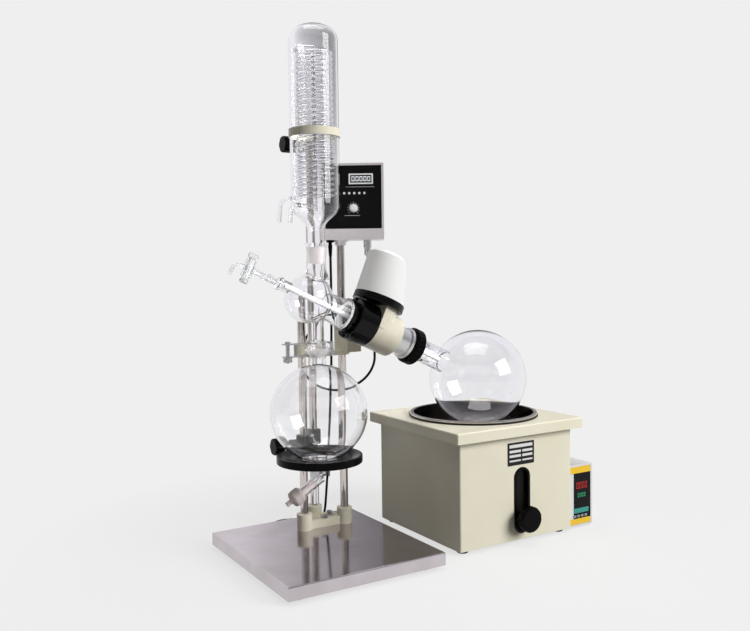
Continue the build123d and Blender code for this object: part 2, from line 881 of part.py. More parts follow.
def make_drain_plug():
    shaft = Pos(0, 0, drain_plug_start) * rod(drain_bore - running_gap, drain_length - drain_plug_start + overrun)
    knob = rod(drain_knob_radius, drain_knob_length)
    knob = fillet(knob.edges().filter_by(GeomType.CIRCLE), drain_knob_round)
    start = drain_length + 2 * body_gap
    plug = shaft + Pos(0, 0, start) * knob
    plug += Pos(0, 0, start + drain_knob_length - overrun) * rod(drain_nub_radius, drain_nub_length)
    return glass * Pos(0, 0, drain_start_z) * Rot(0, -90 - drain_slope, 0) * plug


def make_outlet_clip():
    inner = outlet_flange_radius + slip_gap
    low = outlet_end_z - clip_height / 2
    clip = ring(inner + clip_wall, inner, clip_height)
    clip -= Pos(0, -inner, -overrun) * block(clip_mouth, inner, clip_height + 2 * overrun)
    return glass * Pos(0, 0, low) * clip


save("drain_valve", make_drain_valve())
save("drain_plug", make_drain_plug())
save("outlet_clip", make_outlet_clip())


# Ball joint clamp: two fork plates, end link, screw and knurled nut
def make_jaw(hole, z):
    plate = ring(hole + jaw_ring_width, hole, jaw_thick)
    plate += Pos(-jaw_arm_reach / 2 - hole / 2, 0, 0) * block(jaw_arm_reach - hole, jaw_arm_width, jaw_thick)
    plate += Pos(link_reach / 2 + hole / 2, 0, 0) * block(link_reach - hole, link_width, jaw_thick)
    plate -= Pos(-screw_station, 0, -overrun) * rod(screw_radius + slip_gap, jaw_thick + 2 * overrun)
    plate -= Pos(0, -hole - jaw_ring_width / 2, -overrun) * block(
        jaw_mouth, jaw_ring_width + hole, jaw_thick + 2 * overrun)
    return glass * Pos(0, 0, z) * plate


def make_jaw_link():
    low = jaw_lower_z + jaw_thick
    link = block(link_thick, link_width, jaw_upper_z - low)
    return glass * Pos(link_reach - link_thick / 2, 0, low) * link


def make_jaw_screw():
    top = jaw_upper_z + jaw_thick
    low = jaw_lower_z - nut_wheel_height - 2 * body_gap
    screw = Pos(0, 0, low - overrun) * rod(screw_radius, top - low + overrun)
    screw += Pos(0, 0, top) * rod(screw_head_radius, screw_head_height)
    return glass * Pos(-screw_station, 0, 0) * screw


def make_jaw_nut():
    wheel = ring(nut_wheel_radius, screw_radius + running_gap, nut_wheel_height)
    for place in PolarLocations(nut_wheel_radius, nut_wheel_grips):
        wheel -= place * Pos(0, 0, -overrun) * rod(nut_wheel_grip, nut_wheel_height + 2 * overrun)
    return glass * Pos(-screw_station, 0, jaw_lower_z - nut_wheel_height - body_gap) * wheel


def ball_section(radius, z):
    return math.sqrt(radius ** 2 - (z - ball_z) ** 2) + slip_gap


save("clamp_jaw_upper", make_jaw(ball_section(ball_radius, jaw_upper_z), jaw_upper_z))
save("clamp_jaw_lower", make_jaw(ball_section(
    ball_radius + cup_wall + slip_gap, jaw_lower_z + jaw_thick), jaw_lower_z))
save("clamp_screw", [make_jaw_screw(), make_jaw_link()])
save("clamp_nut", make_jaw_nut())


# Condenser jacket: domed glass, waisted foot, ground cone and two hose barbs
def jacket_form(inset):
    radius = condenser_radius - inset
    neck = condenser_neck_radius - inset
    foot = condenser_low - condenser_cone
    crown = condenser_wall_top + condenser_dome - inset
    dome = Bezier((radius, condenser_wall_top), (radius, condenser_wall_top + dome_share * condenser_dome),
                  (dome_share * radius, crown), (0, crown))
    waist = condenser_cone / 2
    bend = Bezier((neck, foot), (neck, foot + waist), (radius, condenser_low - waist), (radius, condenser_low))
    wall = Line((radius, condenser_low), (radius, condenser_wall_top))
    low = socket_top
    lines = [Line((0, crown), (0, low)), Line((0, low), (neck, low)), Line((neck, low), (neck, foot))]
    return revolve(Plane.XZ * make_face(lines + [bend, wall, dome]), Axis.Z)


def barb_points(angle, z, drop, start):
    a = math.radians(angle)

    def at(radius, height):
        return (radius * math.cos(a), radius * math.sin(a), height)
    return [at(start, z), at(barb_reach - barb_bend / 4, z), at(barb_reach, z - drop)]


def make_jacket():
    outer = jacket_form(0)
    cone_low = socket_top - socket_length + cone_tip
    outer += Pos(0, 0, cone_low) * Cone(
        ground_bottom_radius, ground_top_radius, socket_top - cone_low, align=ROUND)
    inner = jacket_form(condenser_wall)
    inner += Pos(0, 0, cone_low - overrun) * rod(
        ground_bottom_radius - glass_wall, socket_top - cone_low + 2 * overrun)
    outer -= inner
    # the first barb carries the coil's lower end and the second the tube down its middle
    roots = (coil_radius + coil_tube + slip_gap, return_radius + slip_gap)
    routes = [barb_points(*place) for place in zip(barb_angles, barb_heights, barb_drops, roots)]
    for points in routes:
        outer += tube_path(points, [barb_bend], barb_radius, 0)
    for points in routes:
        outer -= tube_path(points, [barb_bend], barb_bore, 0)
    return glass * outer


def make_coil():
    path = Helix(pitch=coil_pitch, height=coil_pitch * coil_turns, radius=coil_radius)
    section = Plane(origin=path @ 0, z_dir=path % 0) * RegularPolygon(coil_tube, coil_sides)
    return glass * Pos(0, 0, coil_low) * Rot(0, 0, barb_angles[0]) * sweep(section, path=path, is_frenet=True)


def make_return_tube():
    bore = return_radius - return_wall
    low = barb_heights[1] - return_radius - return_over
    high = coil_low + coil_pitch * coil_turns + coil_tube + return_radius + slip_gap
    tube = Pos(0, 0, low) * rod(return_radius, high - low) + Pos(0, 0, high) * ball(return_radius)
    tube += Pos(0, 0, high) * Rot(0, 0, barb_angles[0]) * Rot(0, 90, 0) * rod(return_radius, coil_radius)
    tube -= Pos(0, 0, low - overrun) * rod(bore, high - low + overrun)
    tube -= Pos(0, 0, high) * Rot(0, 0, barb_angles[0]) * Rot(0, 90, 0) * rod(bore, coil_radius + overrun)
    return glass * (tube - Pos(0, 0, high) * ball(bore))


save("condenser_jacket", make_jacket())
save("condenser_coil", make_coil())
save("condenser_return", make_return_tube())


# Condenser band, arm and clamp
def make_band():
    inner = condenser_radius + slip_gap
    band = ring(inner + band_wall, inner, band_height)
    dx, dy = rear[0] - glass_x, rear[1] - glass_y
    turn = math.degrees(math.atan2(dy, dx))
    lug = Rot(0, 0, turn) * Pos(inner + band_wall / 2 + band_lug_depth / 2, 0, 0) * block(
        band_wall + band_lug_depth, band_lug_width, band_height)
    band += lug
    return glass * Pos(0, 0, band_low) * band


def make_condenser_arm():
    dx, dy = rear[0] - glass_x, rear[1] - glass_y
    turn = math.degrees(math.atan2(dy, dx))
    span = math.hypot(dx, dy)
    start = condenser_radius + slip_gap + band_wall + band_lug_depth
    arm = glass * Rot(0, 0, turn) * Pos((start + span) / 2, 0, arm_low) * block(span - start, arm_width, arm_height)
    clamp = Pos(rear[0], rear[1], clamp_low) * rod(clamp_radius, clamp_height)
    clamp = fillet(clamp.edges().filter_by(GeomType.CIRCLE), clamp_edge)
    boss = Pos(rear[0], rear[1], clamp_screw_z) * Rot(0, -90, 0) * rod(clamp_boss_radius, clamp_boss_reach)
    body = arm + clamp + boss
    body -= Pos(rear[0], rear[1], clamp_low - overrun) * rod(
        column_radius + slip_gap, clamp_height + 2 * overrun)
    body -= Pos(rear[0], rear[1], clamp_screw_z) * Rot(0, -90, 0) * rod(
        knob_screw_radius + running_gap, clamp_boss_reach + overrun)
    return body


def make_knob(reach):
    # screw knob along +Z, its screw tip near the column at the origin
    tip = column_radius + body_gap
    lobed = rod(knob_radius, knob_length)
    lobed = fillet(lobed.edges().filter_by(GeomType.CIRCLE), knob_round)
    for place in PolarLocations(knob_radius + knob_round, knob_lobes):
        lobed -= place * Pos(0, 0, -overrun) * rod(knob_lobe_radius, knob_length + 2 * overrun)
    knob = Pos(0, 0, reach - knob_length) * lobed
    knob += Pos(0, 0, reach - knob_length - knob_neck_length) * rod(knob_neck, knob_neck_length + overrun)
    return knob + Pos(0, 0, tip) * rod(knob_screw_radius, reach - knob_length - tip)


save("condenser_band", make_band())
save("condenser_arm", make_condenser_arm())
save("condenser_knob", Pos(rear[0], rear[1], clamp_screw_z) * Rot(0, -90, 0) * make_knob(condenser_knob_reach))


# Receiver ring: a dished ring with an arm, and the clamp on the columns behind it
receiver_clamp_z = ring_low
receiver_screw_z = ring_low + receiver_clamp_height / 2


def make_receiver_ring():
    top = ring_low + ring_height
    dish = lathe([
        (ring_hole, ring_low), (ring_radius, ring_low), (ring_radius, top),
        (ring_radius - ring_dish, top), (ring_floor, top - ring_dish), (ring_hole, top - ring_dish),
    ])
    dish = fillet(dish.edges().filter_by(GeomType.CIRCLE).group_by(lambda e: e.radius)[-1], ring_edge)
    arm_start = ring_radius - ring_dish
    arm_end = front_left[1] - glass_y - clamp_radius
    arm = Pos(front_left[0] - glass_x, (arm_start + arm_end) / 2, ring_low) * block(
        ring_arm_width, arm_end - arm_start, ring_height - ring_edge)
    return glass * (dish + arm)


def make_receiver_clamp():
    body = None
    for x, y in (front_left, rear):
        lobe = Pos(x, y, receiver_clamp_z) * rod(clamp_radius, receiver_clamp_height)
        lobe = fillet(lobe.edges().filter_by(GeomType.CIRCLE), clamp_edge)
        body = lobe if body is None else body + lobe
    body += Pos(0, 0, receiver_clamp_z) * between(front_left, rear, web_width, receiver_clamp_height)
    body += Pos(front_left[0], front_left[1], receiver_screw_z) * Rot(0, -90, 0) * rod(
        clamp_boss_radius, receiver_boss_reach)
    for x, y in (front_left, rear):
        body -= Pos(x, y, receiver_clamp_z - overrun) * rod(
            column_radius + slip_gap, receiver_clamp_height + 2 * overrun)
    body -= Pos(front_left[0], front_left[1], receiver_screw_z) * Rot(0, -90, 0) * rod(
        knob_screw_radius + running_gap, receiver_boss_reach + overrun)
    return body


save("receiver_ring", make_receiver_ring())
save("receiver_clamp", make_receiver_clamp())
save("receiver_knob", Pos(front_left[0], front_left[1], receiver_screw_z) * Rot(0, -90, 0) * make_knob(
    receiver_knob_reach))


# Control box. The box frame: x to the right of its face, y into the box, z up from its bottom.
turn = math.radians(box_turn)
box_x = front_right[0] + box_shift * math.cos(turn) - box_behind * math.sin(turn)
box_y = front_right[1] - box_shift * math.sin(turn) - box_behind * math.cos(turn)
box = Pos(box_x, box_y, box_low) * Rot(0, 0, -box_turn)


def make_control_box():
    shell = Pos(0, box_depth / 2, 0) * block(box_width, box_depth, box_height)
    shell = fillet(shell.edges().filter_by(Axis.Y), box_edge)
    shell -= Pos(0, box_depth / 2, box_wall) * block(
        box_width - 2 * box_wall, box_depth - 2 * box_wall, box_height - 2 * box_wall)
    window_height = box_height - box_top_rim - box_bottom_rim
    shell -= Pos(0, 0, box_bottom_rim) * block(box_width - 2 * box_rim, 2 * (box_wall + overrun), window_height)
    shell -= Pos(-box_shift, box_behind, -overrun) * rod(column_radius + slip_gap, box_wall + 2 * overrun)
    for x, y in ((mains_gland_x, mains_gland_y), (motor_socket_x, motor_socket_y + box_depth / 3)):
        shell -= Pos(x, y, -overrun) * rod(gland_radius - overrun + slip_gap, box_wall + 2 * overrun)
    return box * shell


def make_panel():
    height = box_height - box_top_rim - box_bottom_rim - 2 * slip_gap
    width = box_width - 2 * box_rim - 2 * slip_gap
    panel = Pos(0, panel_inset + panel_thick / 2, box_bottom_rim + slip_gap) * block(width, panel_thick, height)
    display_z = box_height - box_top_rim - display_top - display_height
    panel -= Pos(display_x, panel_inset, display_z) * block(display_width, 4 * panel_thick, display_height)
    panel -= Pos(speed_x, 0, speed_z) * Rot(-90, 0, 0) * rod(speed_shaft + running_gap, speed_shaft_depth)
    return box * panel


def make_display():
    z = box_height - box_top_rim - display_top - display_height
    width, height = display_width - 2 * slip_gap, display_height - 2 * slip_gap
    deep = display_proud + panel_inset + panel_thick
    body = Pos(display_x, panel_inset + panel_thick - deep / 2, z + slip_gap) * block(width, deep, height)
    pane_width, pane_height = width - 2 * display_frame, height - 2 * display_frame
    body -= Pos(display_x, -display_proud, z + slip_gap + display_frame) * block(
        pane_width, 2 * display_frame, pane_height)
    return box * body


def make_speed_knob():
    knob = fillet(rod(speed_radius, speed_height).faces().sort_by(Axis.Z)[-1].edges(), speed_skirt)
    knob += rod(speed_radius + speed_skirt, speed_skirt)
    pointer = Pos(0, speed_radius / 2, speed_height) * block(speed_skirt, speed_radius, speed_skirt)
    knob -= pointer
    knob += Pos(0, 0, -speed_shaft_depth - body_gap) * rod(speed_shaft, speed_shaft_depth + body_gap + speed_skirt)
    return box * Pos(speed_x, panel_inset - body_gap, speed_z) * Rot(90, 0, 0) * knob


def make_collar():
    collar = rod(collar_radius, collar_height - collar_flange_height)
    collar += Pos(0, 0, collar_height - collar_flange_height) * rod(collar_flange_radius, collar_flange_height)
    collar -= Pos(0, 0, -overrun) * rod(column_radius + slip_gap, collar_height + 2 * overrun)
    return Pos(front_right[0], front_right[1], box_low - collar_height) * collar


def make_gland():
    gland = Pos(0, 0, -gland_length) * rod(gland_radius - 2 * band_edge, gland_length + box_wall)
    gland += Pos(0, 0, -gland_nut_length) * extrude(RegularPolygon(gland_nut_radius, 6), gland_nut_length)
    gland = chamfer(gland.faces().sort_by(Axis.Z)[0].edges(), band_edge / 2)
    return gland


def make_motor_socket():
    socket = Pos(0, 0, -motor_socket_length) * rod(motor_socket_radius - band_edge, motor_socket_length)
    socket += Pos(0, 0, -motor_socket_length / 2) * rod(motor_socket_radius, motor_socket_length / 2)
    return fillet(socket.faces().sort_by(Axis.Z)[0].edges(), band_edge)


save("control_box", make_control_box())
save("control_panel", make_panel())
save("display_window", make_display())
save("speed_knob", make_speed_knob())
save("box_collar", make_collar())
mains_gland = box * Pos(mains_gland_x, mains_gland_y, 0)
motor_socket = box * Pos(motor_socket_x, motor_socket_y + box_depth / 3, 0)
save("motor_connector", motor_socket * make_motor_socket())


# Cords: the lead from the control box to the motor, and the mains lead that ends behind the stand
def place_of(location):
    point = location.position
    return (point.X, point.Y, point.Z)


motor_gland_body = rod(motor_gland_radius, gland_nut_length + band_edge)
motor_gland_body += rod(gland_radius - band_edge, gland_length)
save("cable_glands", [mains_gland * make_gland(), motor_gland * motor_gland_body])
motor_start = place_of(motor_socket * Pos(0, 0, -motor_socket_length))
motor_end = place_of(motor_gland * Pos(0, 0, gland_length))
save("motor_lead", cord([motor_start] + motor_route + [motor_end], motor_lead_radius, "motor lead"))
mains_start = place_of(mains_gland * Pos(0, 0, -gland_length))
save("mains_lead", [
    cord([mains_start] + mains_route, mains_radius, "mains lead"), cord(mains_tail_route, mains_radius, "mains tail")])
save("mains_coil", Pos(hank_x, hank_y, hank_lift) * ring(hank_outer, hank_inner, hank_height))


def make_plug():
    tail = Pos(plug_length / 2, 0, plug_height / 2) * Rot(0, 90, 0) * Cone(
        plug_tail_radius, mains_radius + slip_gap, plug_tail, align=ROUND)
    body = block(plug_length, plug_width, plug_height)
    body = fillet(body.edges().filter_by(Axis.X), plug_tail_radius)
    body = chamfer(body.faces().sort_by(Axis.X)[-1].edges(), pin_thick)
    for side in (-1, 1):
        body += Pos(-plug_length / 2 - pin_length / 2, side * pin_spread, (plug_height - pin_width) / 2) * block(
            pin_length, pin_thick, pin_width)
    return Pos(plug_x - plug_length / 2, plug_y, 0) * (body + tail)


save("mains_plug", make_plug())


# Water bath: case, lifting top with sleeve, pot, gasket, heater, lock knob
bath = Pos(bath_x, bath_y, 0)
case_top = lid_top - lid_sheet - body_gap
case_front = -bath_depth / 2


def make_bath_case():
    height = case_top - bath_foot
    case = Pos(0, 0, bath_foot) * block(bath_width, bath_depth, height)
    case = fillet(case.edges().filter_by(Axis.Z), bath_corner)
    case -= Pos(0, 0, bath_foot + bath_sheet) * block(
        bath_width - 2 * bath_sheet, bath_depth - 2 * bath_sheet, height)
    case -= slot_form(slot_width, 2 * sleeve_inset)
    return bath * case


def slot_form(width, depth):
    grown = width - slot_width
    face = SlotOverall(slot_height + grown, width, rotation=90)
    plane = Plane(origin=(slot_x, case_front, slot_low + slot_height / 2), x_dir=(1, 0, 0), z_dir=(0, -1, 0))
    return extrude(plane * face, depth / 2, both=True)


def make_slot_trim():
    trim = slot_form(slot_width + 2 * slot_trim, 2 * slot_trim_thick) - slot_form(
        slot_width - 2 * slot_trim_thick, 4 * slot_trim_thick)
    front = Pos(slot_x, case_front - slot_trim_thick, bath_foot) * block(
        bath_width / 2, 2 * slot_trim_thick - 2 * slip_gap, case_top - bath_foot)
    return bath * (trim & front)


def make_bath_feet():
    foot = rod(bath_foot_radius, bath_foot)
    foot = chamfer(foot.faces().sort_by(Axis.Z)[0].edges(), foot_chamfer)
    half_x = bath_width / 2 - bath_foot_inset
    half_y = bath_depth / 2 - bath_foot_inset
    return [bath * Pos(x, y, 0) * foot for x in (-half_x, half_x) for y in (-half_y, half_y)]


# the knob's screw stands above the slot's lower end when the bath is down
lock_height = slot_low + slot_width / 2 + lock_rise


def make_bath_top():
    width = bath_width + 2 * lid_overhang
    depth = bath_depth + 2 * lid_overhang
    lid = Pos(0, 0, lid_top - lid_height) * block(width, depth, lid_height)
    lid = fillet(lid.edges().filter_by(Axis.Z) + lid.faces().sort_by(Axis.Z)[-1].edges(), lid_edge)
    inside = lid_height - lid_sheet
    lid -= Pos(0, 0, lid_top - lid_height) * block(width - 2 * lid_sheet, depth - 2 * lid_sheet, inside)
    sleeve_w = bath_width - 2 * (bath_sheet + sleeve_inset)
    sleeve_d = bath_depth - 2 * (bath_sheet + sleeve_inset)
    low = lid_top - lid_sheet - sleeve_depth
    lid += Pos(0, 0, low) * (block(sleeve_w, sleeve_d, sleeve_depth) - Pos(0, 0, -overrun) * block(
        sleeve_w - 2 * sleeve_sheet, sleeve_d - 2 * sleeve_sheet, sleeve_depth + overrun + lid_sheet))
    rail_width = 2 * lock_stem_radius + 2 * slot_trim
    rail_low = lock_height - rail_width / 2
    rail = Pos(slot_x, -sleeve_d / 2 + sleeve_sheet, rail_low) * block(
        rail_width, 2 * sleeve_sheet, lid_top - lid_sheet - rail_low)
    lid += rail
    lid -= Pos(0, 0, lid_top - lid_height) * rod(pot_radius + pot_wall + body_gap, lid_height + overrun)
    lid -= lock_place() * rod(lock_stem_radius - slot_trim + running_gap, 2 * bath_depth / 3)
    return bath * lid


def lock_place():
    return Pos(slot_x, case_front - slot_trim_thick, lock_height) * Rot(-90, 0, 0)


def make_pot():
    top = lid_top + gasket_height + pot_rim_height
    body = Pos(0, 0, pot_floor - pot_wall) * rod(pot_radius + pot_wall, top - pot_floor + pot_wall)
    body = fillet(body.faces().sort_by(Axis.Z)[0].edges(), pot_round + pot_wall)
    body += Pos(0, 0, top - pot_rim_height) * fillet(
        rod(pot_rim_radius, pot_rim_height).faces().sort_by(Axis.Z)[-1].edges(), pot_rim_height / 3)
    hollow = Pos(0, 0, pot_floor) * rod(pot_radius, top - pot_floor + overrun)
    return bath * (body - fillet(hollow.faces().sort_by(Axis.Z)[0].edges(), pot_round))


def make_gasket():
    outer = pot_rim_radius + bath_rim_gap
    return bath * Pos(0, 0, lid_top) * ring(outer, pot_radius + pot_wall + slip_gap, gasket_height)


def make_heater():
    z = pot_floor + heater_lift
    arc = CenterArc((0, 0, z), heater_radius, 0, 360 * heater_mouth_share)
    section = Plane(origin=arc @ 0, z_dir=arc % 0) * Circle(heater_tube)
    loop = sweep(section, path=arc)
    for point in (arc @ 0, arc @ 1):
        loop += Pos(point.X, point.Y, pot_floor) * rod(heater_tube, heater_lift)
        loop += Pos(point.X, point.Y, z) * ball(heater_tube)
    return bath * loop


def make_lock_knob():
    # a broad disc on a hub, its stem reaching the sliding sleeve through the slot
    disc = Pos(0, 0, -lock_hub - lock_length) * rod(lock_radius, lock_length)
    disc = fillet(disc.edges().filter_by(GeomType.CIRCLE), lock_round)
    for place in PolarLocations(lock_radius + knob_round, lock_lobes):
        disc -= place * Pos(0, 0, -lock_hub - lock_length - overrun) * rod(
            lock_lobe_radius, lock_length + 2 * overrun)
    knob = disc + Pos(0, 0, -lock_hub - overrun) * rod(lock_hub_radius, lock_hub + overrun - body_gap)
    start = sleeve_inset + bath_sheet + slot_trim_thick
    knob += Pos(0, 0, -overrun - body_gap) * rod(lock_stem_radius, start + overrun)
    knob += rod(lock_stem_radius - slot_trim, start + 4 * sleeve_sheet)
    return bath * lock_place() * knob


save("bath_case", make_bath_case())
save("slot_trim", make_slot_trim())
save("bath_feet", make_bath_feet())
save("bath_top", make_bath_top())
save("bath_pot", make_pot())
save("pot_gasket", make_gasket())
save("heating_element", make_heater())
save("lock_knob", make_lock_knob())


# Bath temperature controller on the right side of the case
controller = bath * Pos(
    bath_width / 2 + slip_gap + controller_width / 2, case_front + controller_back, controller_low)


def make_controller_case():
    case = Pos(0, controller_depth / 2, 0) * block(controller_width, controller_depth, controller_height)
    case = fillet(case.edges().filter_by(Axis.Y), controller_edge)
    case -= Pos(0, 0, controller_rim) * block(
        controller_width - 2 * controller_rim, 2 * controller_bezel, controller_height - 2 * controller_rim)
    return controller * case


def make_controller_face():
    width = controller_width - 2 * controller_rim - 2 * slip_gap
    height = controller_height - 2 * controller_rim - 2 * slip_gap
    face = Pos(0, controller_bezel / 2, controller_rim + slip_gap) * block(
        width, controller_bezel - slip_gap, height)
    for x in key_places():
        face -= Pos(x, 0, key_low - slip_gap) * block(
            key_width + 2 * body_gap, 4 * controller_bezel, key_height + 2 * body_gap)
    return controller * face


def key_places():
    pitch = key_width + key_gap
    return [(i - (key_count - 1) / 2) * pitch for i in range(key_count)]


def make_keys():
    depth = key_proud + controller_bezel - 2 * slip_gap
    key = Pos(0, controller_bezel - slip_gap - depth / 2, key_low) * block(key_width, depth, key_height)
    return [controller * Pos(x, 0, 0) * key for x in key_places()]


save("controller_case", make_controller_case())
save("controller_face", make_controller_face())
save("controller_keys", make_keys())


# Centre the footprint on the origin and write the parts
def as_shape(item):
    return Compound(list(item)) if isinstance(item, list) else item


free_cord = ("mains_lead", "mains_coil", "mains_plug", "motor_lead")
bounds = Compound([as_shape(item) for name, item in parts.items() if name not in free_cord]).bounding_box()
shift_x = -(bounds.min.X + bounds.max.X) / 2
shift_y = -(bounds.min.Y + bounds.max.Y) / 2
os.makedirs("parts", exist_ok=True)
for name, item in parts.items():
    export_step(Pos(shift_x, shift_y, 0) * as_shape(item), f"parts/{name}.step")
print("shift", shift_x, shift_y, "height", bounds.max.Z, len(parts), "nodes")
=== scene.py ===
import math
from functools import cache

import bmesh
import bpy
from bpy.props import FloatProperty, FloatVectorProperty, IntProperty, PointerProperty
from mathutils import Matrix, Vector

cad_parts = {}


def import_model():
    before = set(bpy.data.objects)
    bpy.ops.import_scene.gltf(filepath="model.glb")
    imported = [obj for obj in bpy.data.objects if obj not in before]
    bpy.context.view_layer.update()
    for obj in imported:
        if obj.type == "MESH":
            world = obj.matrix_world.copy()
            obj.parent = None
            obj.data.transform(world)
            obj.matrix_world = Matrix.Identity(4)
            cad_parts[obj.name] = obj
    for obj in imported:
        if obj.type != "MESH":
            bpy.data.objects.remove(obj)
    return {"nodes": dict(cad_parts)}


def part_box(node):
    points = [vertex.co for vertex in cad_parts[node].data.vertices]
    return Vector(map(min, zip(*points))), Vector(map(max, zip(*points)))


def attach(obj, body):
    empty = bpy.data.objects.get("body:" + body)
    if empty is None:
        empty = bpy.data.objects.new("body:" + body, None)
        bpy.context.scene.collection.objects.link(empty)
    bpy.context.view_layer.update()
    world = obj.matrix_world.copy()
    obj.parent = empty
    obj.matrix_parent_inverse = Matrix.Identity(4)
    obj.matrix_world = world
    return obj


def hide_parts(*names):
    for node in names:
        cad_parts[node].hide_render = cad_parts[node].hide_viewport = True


bl_info = {
    "name": "Rotary Evaporator Finish",
    "version": (1, 0, 0),
    "blender": (4, 5, 0),
    "location": "View3D > Sidebar > Evaporator",
    "description": "Glass, metal, enamel and cords of a bench rotary evaporator with a five litre flask",
    "category": "Object",
}

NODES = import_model()["nodes"]
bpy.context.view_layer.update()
MM = 0.001

# Sizes and places in this script are millimetres from the middle of the base plate, unless they say
# metres; the rear column stands at REAR_COLUMN.
REAR_COLUMN = Vector((55.0, 149.5, 0.0)) * MM
rear_low, rear_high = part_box("column_rear")
STAND = Vector(((rear_low.x + rear_high.x) / 2, (rear_low.y + rear_high.y) / 2, 0)) - REAR_COLUMN
GLASS_AXIS = (-13.6, -13.0)
HEAD_HEIGHT = 539.6
HEAD_TILT = math.radians(24.5)
BOX_CORNER = (114.149, 55.504, 669)
BOX_TURN = math.radians(31)
BATH_MIDDLE = (402, 9.5)
BATH_HALF_WIDTH = 158
BATH_HALF_DEPTH = 156.5
HANK_MIDDLE = (30.0, 238.2)


def spot(x, y, z):
    """A place measured in millimetres from the middle of the base plate."""
    return STAND + Vector((x, y, z)) * MM


def axes(origin, x, z):
    """A frame from its origin and its x and z directions."""
    z = Vector(z).normalized()
    x = Vector(x).normalized()
    y = z.cross(x)
    return Matrix.Translation(origin) @ Matrix((x, y, z)).transposed().to_4x4()


GLASS = Matrix.Translation(spot(*GLASS_AXIS, 0))
# z runs down along the rotation axis to the flask, x across it and up
HEAD = axes(spot(*GLASS_AXIS, HEAD_HEIGHT), (math.sin(HEAD_TILT), 0, math.cos(HEAD_TILT)),
            (math.cos(HEAD_TILT), 0, -math.sin(HEAD_TILT)))
# x runs to the right of the control box's face, y into the box, z up from its bottom
BOX = Matrix.Translation(spot(*BOX_CORNER)) @ Matrix.Rotation(-BOX_TURN, 4, "Z")
BATH = Matrix.Translation(spot(*BATH_MIDDLE, 0))


def place(matrix, x, y, z):
    """A place in a frame, in millimetres."""
    return matrix @ (Vector((x, y, z)) * MM)


# Colours and small mesh helpers
def linear(hexa):
    """An sRGB hex colour as the linear values that a shader takes."""
    parts = [int(hexa[i:i + 2], 16) / 255 for i in (0, 2, 4)]
    return (*(c / 12.92 if c <= 0.04045 else ((c + 0.055) / 1.055) ** 2.4 for c in parts), 1.0)


def add(tree, kind, links=None, **settings):
    """Adds one node, sets its sockets and properties, and joins the sockets named in links."""
    node = tree.nodes.new(kind)
    for name, value in settings.items():
        key = name.replace("_", " ")
        if hasattr(node, name):
            setattr(node, name, value)
        else:
            node.inputs[key].default_value = value
    for name, source in (links or {}).items():
        tree.links.new(source, node.inputs[name])
    return node


def shader(name, base, **sockets):
    """A new material with one Principled shader, its constants set on the shader's own sockets."""
    material = bpy.data.materials.new(name)
    material.use_nodes = True
    tree = material.node_tree
    surface = tree.nodes["Principled BSDF"]
    surface.inputs["Base Color"].default_value = linear(base)
    for key, value in sockets.items():
        surface.inputs[key.replace("_", " ")].default_value = value
    return material, tree, surface


def texture_place(tree, scale=(1, 1, 1), turn=(0, 0, 0)):
    """Object coordinates in metres, stretched by scale and turned."""
    where = add(tree, "ShaderNodeTexCoord")
    links = {"Vector": where.outputs["Object"]}
    return add(tree, "ShaderNodeMapping", links, Scale=scale, Rotation=turn).outputs[0]


def bump(tree, surface, height, strength, depth):
    """Raises the surface by a pattern, its depth in millimetres."""
    node = add(tree, "ShaderNodeBump", {"Height": height}, Strength=strength, Distance=depth * MM)
    tree.links.new(node.outputs[0], surface.inputs["Normal"])


def maths(tree, operation, first, second, clamp=False):
    """The result of one sum or test; a number may stand second."""
    node = add(tree, "ShaderNodeMath", {0: first}, operation=operation, use_clamp=clamp)
    if isinstance(second, float):
        node.inputs[1].default_value = second
    else:
        tree.links.new(second, node.inputs[1])
    return node.outputs[0]


def ramp(tree, source, low, high, start=0.0, end=1.0):
    """Maps start to end onto low to high."""
    limits = {"From_Min": start, "From_Max": end, "To_Min": low, "To_Max": high}
    return add(tree, "ShaderNodeMapRange", {"Value": source}, **limits).outputs[0]


def blend_colours(tree, share, first, second):
    """Mixes two hex colours by a share."""
    node = tree.nodes.new("ShaderNodeMix")
    node.data_type = "RGBA"
    tree.links.new(share, node.inputs["Factor"])
    for socket, value in ((node.inputs[6], first), (node.inputs[7], second)):
        socket.default_value = linear(value)
    return node.outputs[2]


def noise(tree, at, size, detail=2.0):
    """Noise with grains of about size millimetres."""
    return add(tree, "ShaderNodeTexNoise", {"Vector": at}, Scale=1 / (size * MM), Detail=detail).outputs[0]


def stretched_noise(tree, sizes, detail=2.0):
    """Noise drawn out to grains of these sizes in millimetres along x, y and z."""
    at = texture_place(tree, scale=[1 / (size * MM) for size in sizes])
    return add(tree, "ShaderNodeTexNoise", {"Vector": at}, Scale=1.0, Detail=detail).outputs[0]


def about_axis(tree, matrix):
    """Object coordinates measured from the upright axis of a frame."""
    where = add(tree, "ShaderNodeTexCoord")
    moved = add(tree, "ShaderNodeVectorMath", {0: where.outputs["Object"]}, operation="SUBTRACT")
    moved.inputs[1].default_value = (*matrix.translation.xy, 0)
    return moved.outputs[0]


def vary(tree, surface, socket, pattern, low, high, start=0.0, end=1.0):
    """Runs a socket between two values with a pattern."""
    tree.links.new(ramp(tree, pattern, low, high, start, end), surface.inputs[socket])


def tint(tree, surface, pattern, first, second, start=0.3, end=0.7):
    """Clouds the colour between two tones with a pattern."""
    share = ramp(tree, pattern, 0.0, 1.0, start, end)
    tree.links.new(blend_colours(tree, share, first, second), surface.inputs["Base Color"])


